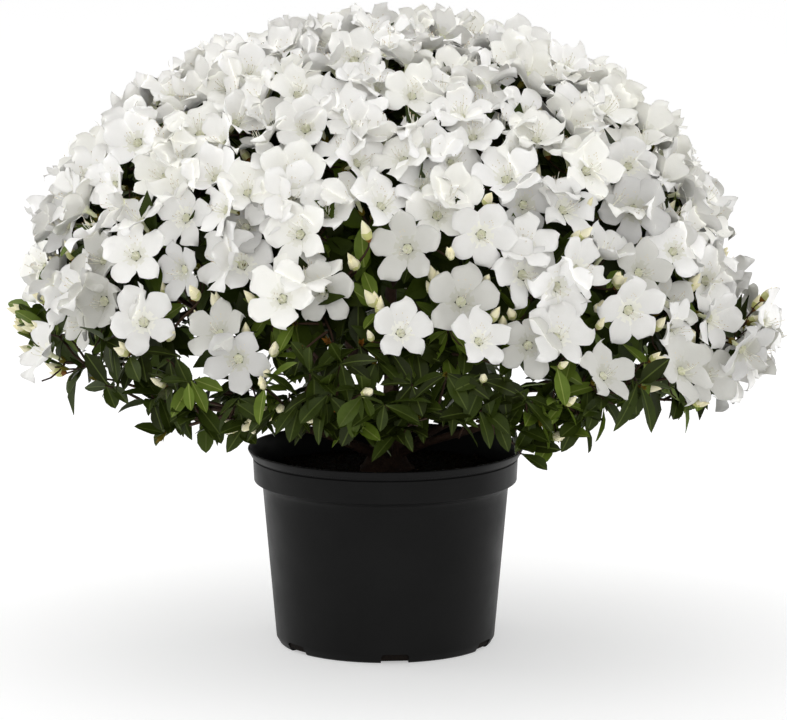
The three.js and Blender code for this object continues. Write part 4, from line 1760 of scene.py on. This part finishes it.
    def leaf_twigs(self, seats: Seats) -> None:
        """Puts a whorl of leaves on every blossom's twig, close behind the blossom.

        Args:
            seats: the blossoms' seats.
        """
        low = seats.centre[:, 2] < self.low_blossom
        reach = np.linalg.norm(seats.corners[:, 3] - seats.corners[:, 0], axis=1)
        for k in range(self.leaves_a_twig):
            item = seats.item * 13 + k
            back = 4.0 + 7.5 * k + 3.0 * chance(item, 1)
            share = np.clip(1 - back / reach, 0.05, 1)
            root = bezier(seats.corners, share[:, None])[:, 0]
            turn = seats.item * 1.7 + k * GOLDEN_ANGLE + 0.5 * sway(item, 2)
            direction = around(seats.facing, turn)
            direction = direction + seats.facing * blend(0.05, 0.7, chance(item, 3))[:, None]
            direction = direction + UP * np.where(low, -0.55 * chance(item, 5), 0.05)[:, None]
            face = seats.facing * 0.8 + UP * 0.5 + 0.3 * sways(item, 6)
            fresh_and_lit = chance(item, 10) ** 1.3 * np.where(chance(seats.item, 14) < 0.25, 1.4, 1.0)
            # painted shade and light: leaves by the lowest blossoms take darker greens, the others lighter
            # ones
            fresh_and_lit = fresh_and_lit * np.where(low, 0.7, 1.3)
            self.set_leaves(self.leaves, item, root, direction, face, fresh_and_lit)

    def fill_inside(self, seats: Seats) -> None:
        """Sets plainer leaves further back along the twigs, which close the crown from inside, in darker
        greens as painted shade.

        Args:
            seats: the blossoms' seats.
        """
        form = leaf_form(LeafShape.ELLIPTIC, 1, plain=True)
        for k in range(self.inner_leaves_a_twig):
            item = seats.item * 19 + k
            share = blend(0.9, 0.1, (k + chance(item, 1)) / self.inner_leaves_a_twig)
            root = bezier(seats.corners, share[:, None])[:, 0]
            outward = unit(root - self.frame.crown.centre)
            onward = blend(-0.2, 0.9, chance(item, 3))[:, None]
            direction = around(outward, any_turn(item, 2)) + outward * onward
            turns = frames_along(direction, outward + 0.6 * sways(item, 4))
            shade = np.floor(chance(item, 8) * 2.4).astype(int)
            sizes = blend(1.1, 1.5, chance(item, 9))
            self.inner_leaves.scatter(form, root, turns, sizes, np.stack([shade, shade], -1))

    def fill_gaps(self, seats: Seats) -> None:
        """Grows leafy shoots, some with buds, where the blossoms leave a gap and below their hem.

        Args:
            seats: the blossoms' seats.
        """
        number = np.arange(self.gaps_tried)
        item = self.gap_items + number
        sine = blend(1.0, self.gap_lowest_sine, (number + 0.5) / self.gaps_tried)
        azimuth = number * GOLDEN_ANGLE + 1.1
        facing = unit(self.dome.normal(sine, azimuth) + 0.35 * sways(item, 1))
        tip = self.dome.point(sine, azimuth) - facing * blend(7.0, 26.0, chance(item, 2))[:, None]
        far = np.min(np.linalg.norm(tip[:, None] - seats.centre[None], axis=-1), axis=1)
        deep = self.hem_at(azimuth, item) - tip[:, 2]
        below = deep > 0
        front = np.maximum(0, -np.sin(azimuth)) ** 2
        apart = np.where(below, blend(*self.fringe_apart, front), self.gap_apart)
        apart = apart * blend(0.85, 1.2, chance(item, 3))
        wanted = chance(item, 84) < np.where(deep > self.fringe_depth, blend(0.16, 1.0, front), 1.0)
        wanted &= (far > self.gap_clear) & (tip[:, 2] > self.skirt_at(tip) + 12)
        order = np.flatnonzero(wanted)
        order = order[np.argsort(chance(order, 4))]
        kept = self.thinned(tip, apart, order)
        item, tip, facing, below = item[kept], tip[kept], facing[kept], below[kept]
        root = self.branch_points(tip)
        clear = self.behind_petals(root, tip - facing * 2, near=31.0)
        item, tip, facing, below, root = (a[clear] for a in (item, tip, facing, below, root))
        bow = 5.0 * sways(item, 85)
        reach = np.linalg.norm(tip - root, axis=1)[:, None]
        corners = np.stack([root, root + (tip - root) * 0.35 + bow, tip - facing * 0.3 * reach, tip], axis=1)
        lines = bezier(corners, np.linspace(0, 1, 5))
        self.twigs.add(tapered(lines, *self.shoot_radii))
        # painted light and shade: shoots in the gaps take lighter greens, those below the hem darker ones
        for part, droop, fresh_and_lit, tufted in ((~below, 0.0, 1.6, 0.35), (below, 0.3, 0.4, 0.2)):
            args = {"leaves": 7, "droop": droop, "lean": 0.5, "fresh_and_lit": fresh_and_lit, "tufted": tufted}
            self.whorls(self.leaves, item[part], tip[part], facing[part], **args)
        with_bud = chance(item, 15) < np.where(below, 0.2, 1.0)
        self.bud_pairs(item[with_bud], tip[with_bud], facing[with_bud])

    def branch_points(self, tip: np.ndarray) -> np.ndarray:
        """Finds where each new twig branches off: the nearest wood that lies further in.

        The twigs branched off before it count as wood too, and wood that bears twigs already costs more.

        Args:
            tip: the new twigs' ends.

        Returns:
            One point a row.
        """
        wood = np.concatenate([*self.wood, *(m.line[len(m.line) // 3 :] for m in self.frame.masses)])
        used = np.zeros(len(wood))
        heart = np.array(self.twig_centre)
        root = np.zeros(tip.shape)
        for i in np.argsort(np.linalg.norm(tip - heart, axis=1)):
            inner = np.linalg.norm(wood - heart, axis=1) < np.linalg.norm(tip[i] - heart) - 20.0
            cost = np.linalg.norm(wood - tip[i], axis=1) + np.where(inner, 0.0, 300.0) + 40.0 * used
            nearest = int(np.argmin(cost))
            root[i] = wood[nearest]
            used[nearest] += 1
            wood = np.concatenate([wood, root[i] + (tip[i] - root[i]) * [[0.4], [0.65]]])
            used = np.concatenate([used, [0, 0]])
        return root

    def whorls(
        self,
        sheaf: Sheaf,
        item: np.ndarray,
        tip: np.ndarray,
        along: np.ndarray,
        leaves: int,
        droop: float,
        lean: float,
        fresh_and_lit: float,
        hanging: bool = False,
        tufted: float = 0.2,
    ) -> None:
        """Puts a whorl of leaves about each twig's end.

        Args:
            sheaf: where they are gathered.
            item: each whorl's number.
            tip: the twigs' ends.
            along: the twigs' directions.
            leaves: how many leaves a whorl has.
            droop: how far they hang.
            lean: how far they point on along the twig.
            fresh_and_lit: the green of all but the young whorls, from 0 to 1; low paints shade, high paints
                light.
            hanging: whether to use more of the long narrow leaves.
            tufted: the share of them with a tuft of scales in its middle.
        """
        for k in range(leaves):
            number = item * 17 + k
            turn = any_turn(item, 21) + k * GOLDEN_ANGLE + 0.4 * sway(number, 1)
            direction = around(along, turn) + along * (lean * blend(0.5, 1.3, chance(number, 2)))[:, None]
            direction = unit(direction)
            direction = direction - UP * (droop * blend(0.4, 1.5, chance(number, 3)))[:, None]
            root = tip - along * (1.0 + 2.6 * k)
            face = UP * 0.8 + along * 0.4 + 0.35 * sways(number, 4)
            young = chance(item, 22) < 0.14
            green = np.where(young, 1.0, fresh_and_lit) * blend(0.35, 1.15, chance(number, 8))
            self.set_leaves(sheaf, number, root, direction, face, green, hanging)
        own = chance(item, 51) < tufted
        self.tufts(item[own], tip[own], along[own])

    def tufts(self, item: np.ndarray, tip: np.ndarray, along: np.ndarray) -> None:
        """Stands a tuft of small rusty bud scales in the middle of whorls that no petal covers.

        Args:
            item: each whorl's number.
            tip: the twigs' ends.
            along: the twigs' directions.
        """
        keep = self.behind_petals(tip, tip + along * 8, near=27.0)
        turns = frames_along(along[keep], UP + 0.3 * sways(item[keep], 52))
        slots = np.where(chance(item[keep], 53) < 0.35, 2, 3)[:, None]
        sizes = blend(0.7, 1.6, chance(item[keep], 54))
        self.buds.scatter(scale_tuft(), tip[keep] - along[keep] * 3, turns, sizes, slots)

    def bud_pairs(self, item: np.ndarray, tip: np.ndarray, along: np.ndarray) -> None:
        """Stands one to three buds on each of some twigs' ends.

        Args:
            item: each twig's number.
            tip: their ends.
            along: their directions.
        """
        bud = Bud()
        form = bud.form()
        for k, share in enumerate(self.bud_chances):
            direction = unit(along + 0.3 * around(along, any_turn(item, 35) + k * 2.6) + UP * 0.7)
            keep = chance(item, 31 + k) < share
            keep &= self.behind_petals(tip, tip + direction * bud.length, near=28.0)
            own = item[keep]
            turns = frames_along(direction[keep], UP + 0.3 * sways(own, 36))
            sizes = blend(0.7, 1.1, chance(own, 37 + k))
            slots = np.tile([0, 1, 2], (len(own), 1))
            self.buds.scatter(form, tip[keep] - along[keep] * 2, turns, sizes, slots)

    def beside_blossoms(self, seats: Seats) -> None:
        """Stands buds beside the blossoms where another doesn't cover them, each on a stalk of its own.

        Args:
            seats: the blossoms' seats.
        """
        for k in range(3):
            item = seats.item + 4000 * k
            aside = around(seats.facing, any_turn(item, 17))
            root = seats.centre - seats.facing * 13 + aside * 26
            way = unit(seats.facing + 0.4 * aside)
            keep = self.behind_petals(seats.joint, root, near=28.0)
            corners = np.stack([seats.joint, seats.joint + aside * 9, root - way * 6, root], axis=1)
            stalks = bezier(corners[keep], np.linspace(0, 1, 4))
            self.twigs.add(tapered(stalks, self.shoot_radii[1], self.shoot_radii[1]))
            self.bud_pairs(item[keep], root[keep], way[keep])

    def under_shoots(self, mass: Mass, count: int = 5) -> None:
        """Carries a stem under the crown on to side shoots, finer shoots and hanging whorls.

        Args:
            mass: the mass that it carries.
            count: how many side shoots it has.
        """
        base = 5000 + 100 * mass.number
        k = np.arange(count)
        item = base + k
        share = blend(0.3, 1.0, (k + 0.5) / count)
        place = np.clip((share * (len(mass.line) - 1)).astype(int), 1, len(mass.line) - 2)
        root = mass.line[place]
        tangent = unit(mass.line[place + 1] - mass.line[place - 1])
        side = unit(np.cross(UP, tangent))
        angle = np.radians(blend(30.0, 78.0, chance(item, 40))) * np.where(k % 2, 1, -1)
        direction = tangent * np.cos(angle)[:, None] + side * np.sin(angle)[:, None]
        direction = unit(direction + UP * blend(-0.04, 0.5, chance(item, 50))[:, None])
        length = blend(48.0, 92.0, chance(item, 60)) * blend(0.8, 1.1, share)
        tip = root + direction * length[:, None] - UP * 5.0
        tips = np.concatenate([tip, mass.line[-1:]])
        roots = np.concatenate([root, mass.line[-3:-2]])
        ways = np.concatenate([direction, unit(mass.line[-1:] - mass.line[-3:-2])])
        items = np.concatenate([item, [base + 60]])
        self.shoots(roots, tips, ways, items, 2.0, 1.1)
        finer = items * 2
        where = blend(0.4, 0.85, chance(finer, 61))[:, None]
        start = roots * (1 - where) + tips * where
        way = unit(ways + 0.9 * around(ways, any_turn(finer, 62)))
        way = unit(way + UP * 0.25)
        end = start + way * blend(22.0, 50.0, chance(finer, 63))[:, None]
        self.shoots(start, end, way, finer, 1.2, 0.8)

    def shoots(
        self, root: np.ndarray, tip: np.ndarray, way: np.ndarray, item: np.ndarray, thick: float, thin: float
    ) -> None:
        """Grows shoots under the crown, each with its whorl, where they clear the pot.

        Args:
            root: where each starts.
            tip: where each ends.
            way: its direction.
            item: its number.
            thick: its radius at the root.
            thin: its radius at the tip.
        """
        clear = self.clear_of_pot(root, tip - UP * 12)
        root, tip, way, item = root[clear], tip[clear], way[clear], item[clear]
        third = way * (np.linalg.norm(tip - root, axis=1) / 3)[:, None]
        corners = np.stack([root, root + third + UP * 2, tip - third + UP * 3, tip], axis=1)
        lines = bezier(corners, np.linspace(0, 1, 5))
        self.twigs.add(tapered(lines, thick, thin))
        # painted shade: the leaves under the crown take the darker greens
        args = {"leaves": 6, "droop": 0.6, "lean": 0.45, "fresh_and_lit": 0.45, "hanging": True}
        self.whorls(self.under_leaves, item, tip, way, **args)
        with_bud = chance(item, 64) < 0.1
        self.bud_pairs(item[with_bud], tip[with_bud], unit(way[with_bud] + UP * 0.5))

    def build(self) -> None:
        """Grows everything and sets the pieces down."""
        seats = self.seats()
        self.centres, self.facings = seats.centre, seats.facing
        LOG.info("%d blossoms", len(seats.item))
        self.grow_twigs(seats)
        self.add_blossoms(seats)
        self.leaf_twigs(seats)
        self.fill_inside(seats)
        self.fill_gaps(seats)
        self.beside_blossoms(seats)
        for mass in self.frame.of(leafy=True):
            self.under_shoots(mass)
        self.set_down()

    def set_down(self) -> None:
        """Sets down each kind as a piece, with the nodes of the masses that it stands for."""
        skins = [*WHITES, FLUSH, THROAT, TUBE, CALYX, FLECK, FLUSH_SHADED]
        nodes = {"upper": [], "lower_right": [], "lower_left": []}
        for mass in self.frame.of(leafy=False):
            part = "lower_right" if mass.ring.name == "lower" else "upper"
            nodes[part].append(f"blossom_{mass.name}")
        for name, sheaf in self.petals.items():
            piece(f"petals_{name}", sheaf.mesh(f"petals_{name}"), skins, "blossom", *nodes[name])
        piece("stamens", self.stamens.mesh("stamens"), [FILAMENT, ANTHER], "blossom")
        piece("buds", self.buds.mesh("buds"), [IVORY, LIME, RUSSET, CALYX], "blossom")
        piece("twigs", self.twigs.mesh("twigs"), [TWIG_BARK], "bark")
        greens = [DARK_LEAF, DEEP_LEAF, MID_LEAF, FRESH_AND_LIT_LEAF, DARK_RIB, FRESH_AND_LIT_RIB]
        piece("crown_leaves", self.leaves.mesh("crown_leaves"), greens, "leaves")
        piece("inner_leaves", self.inner_leaves.mesh("inner_leaves"), greens, "leaves")
        under = [f"leaves_{m.name}" for m in self.frame.of(leafy=True)]
        piece("under_leaves", self.under_leaves.mesh("under_leaves"), greens, "leaves", *under)


# ---------- studio ----------


@dataclass(frozen=True)
class Lamp:
    """A soft square light that looks at the shrub: its place and side in metres, and its power in watts."""

    name: str
    place: tuple[float, float, float]
    side: float
    power: float


@dataclass
class Studio:
    """A wide pale floor that glows a little, soft light from the front and both sides, and the camera."""

    lamps: tuple[Lamp, ...] = (
        Lamp("fill", (0.0, -4.6, 2.0), 2.6, 32.0),
        Lamp("left_strip", (-2.8, 0.9, 2.0), 2.0, 30.0),
        Lamp("right_strip", (2.8, 1.2, 1.8), 2.0, 20.0),
    )
    floor_half: float = 40.0
    floor_colour: str = "#d7d7d7"
    camera_at: tuple[float, float, float] = (0.0, -4.883, 1.100)
    aim: tuple[float, float, float] = (0.0076, 0.0, 0.270)
    lens: float = 240.5
    sensor: float = 36.0
    horizon: float = 0.62
    zenith: float = 0.94
    glow: float = 0.41

    def build(self) -> None:
        """Sets up the floor, the lights, the world and the camera."""
        self.floor()
        for lamp in self.lamps:
            self.light(lamp)
        self.world()
        self.camera()
        bpy.context.scene.view_settings.view_transform = "Standard"
        bpy.context.scene.view_settings.look = "None"

    def floor(self) -> None:
        """Lays the floor: a pale acrylic sheet, lit a little from below."""
        half = self.floor_half
        corners = [(-half, -half, 0), (half, -half, 0), (half, half, 0), (-half, half, 0)]
        mesh = bpy.data.meshes.new("floor")
        mesh.from_pydata(corners, [], [(0, 1, 2, 3)])
        made = bpy.data.objects.new("floor", mesh)
        bpy.context.scene.collection.objects.link(made)
        paint = bpy.data.materials.new("lit_pale_acrylic")
        paint.use_nodes = True
        skin = paint.node_tree.nodes["Principled BSDF"]
        skin.inputs["Base Color"].default_value = linear(self.floor_colour)
        skin.inputs["Roughness"].default_value = 0.9
        skin.inputs["Specular IOR Level"].default_value = 0.1
        skin.inputs["Emission Color"].default_value = (1.0, 1.0, 1.0, 1.0)
        skin.inputs["Emission Strength"].default_value = self.glow
        mesh.materials.append(paint)

    def aimed(self, name: str, data: bpy.types.ID, place: tuple[float, float, float]) -> bpy.types.Object:
        """Stands a light or a camera so that it looks at the shrub.

        Args:
            name: its name.
            data: the light or the camera.
            place: where it stands, in metres.

        Returns:
            The object.
        """
        made = bpy.data.objects.new(name, data)
        made.location = place
        made.rotation_euler = (Vector(self.aim) - Vector(place)).to_track_quat("-Z", "Y").to_euler()
        bpy.context.scene.collection.objects.link(made)
        return made

    def light(self, lamp: Lamp) -> None:
        """Hangs a light.

        Args:
            lamp: what it is like.
        """
        data = bpy.data.lights.new(lamp.name, "AREA")
        data.size, data.energy = lamp.side, lamp.power
        self.aimed(lamp.name, data, lamp.place)

    def world(self) -> None:
        """Fills the room with an almost even light that is a little brighter from above."""
        world = bpy.data.worlds.new("studio")
        world.use_nodes = True
        tree = world.node_tree
        way = node(tree, "SeparateXYZ", {"Vector": node(tree, "TexCoord").outputs["Generated"]})
        ends = {"From Min": -0.1, "From Max": 1.0, "To Min": self.horizon, "To Max": self.zenith}
        height = node(tree, "MapRange", {"Value": way.outputs["Z"], **ends})
        sky = tree.nodes["Background"]
        sky.inputs["Color"].default_value = (1.0, 1.0, 1.0, 1.0)
        tree.links.new(height.outputs["Result"], sky.inputs["Strength"])
        bpy.context.scene.world = world

    def camera(self) -> None:
        """Stands the camera a little above the shrub, far off, with a long lens."""
        lens = bpy.data.cameras.new("camera")
        lens.lens = self.lens
        lens.sensor_width = self.sensor
        lens.clip_end = 5 * self.floor_half
        bpy.context.scene.camera = self.aimed("camera", lens, self.camera_at)


def main() -> None:
    """Builds the studio, the pot with its peat, the limbs and the crown."""
    logging.basicConfig(level=logging.INFO, format="%(name)s: %(message)s")
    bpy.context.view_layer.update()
    Studio().build()
    low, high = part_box("pot")
    pot = Pot(height=round(high.z / MM, 2), rim_radius=round((high.x - low.x) / 2 / MM, 1))
    pot.build()
    Soil(pot).build()
    shrub = Frame()
    shrub.build_limbs()
    Foliage(shrub, pot).build()


if __name__ == "__main__":
    main()
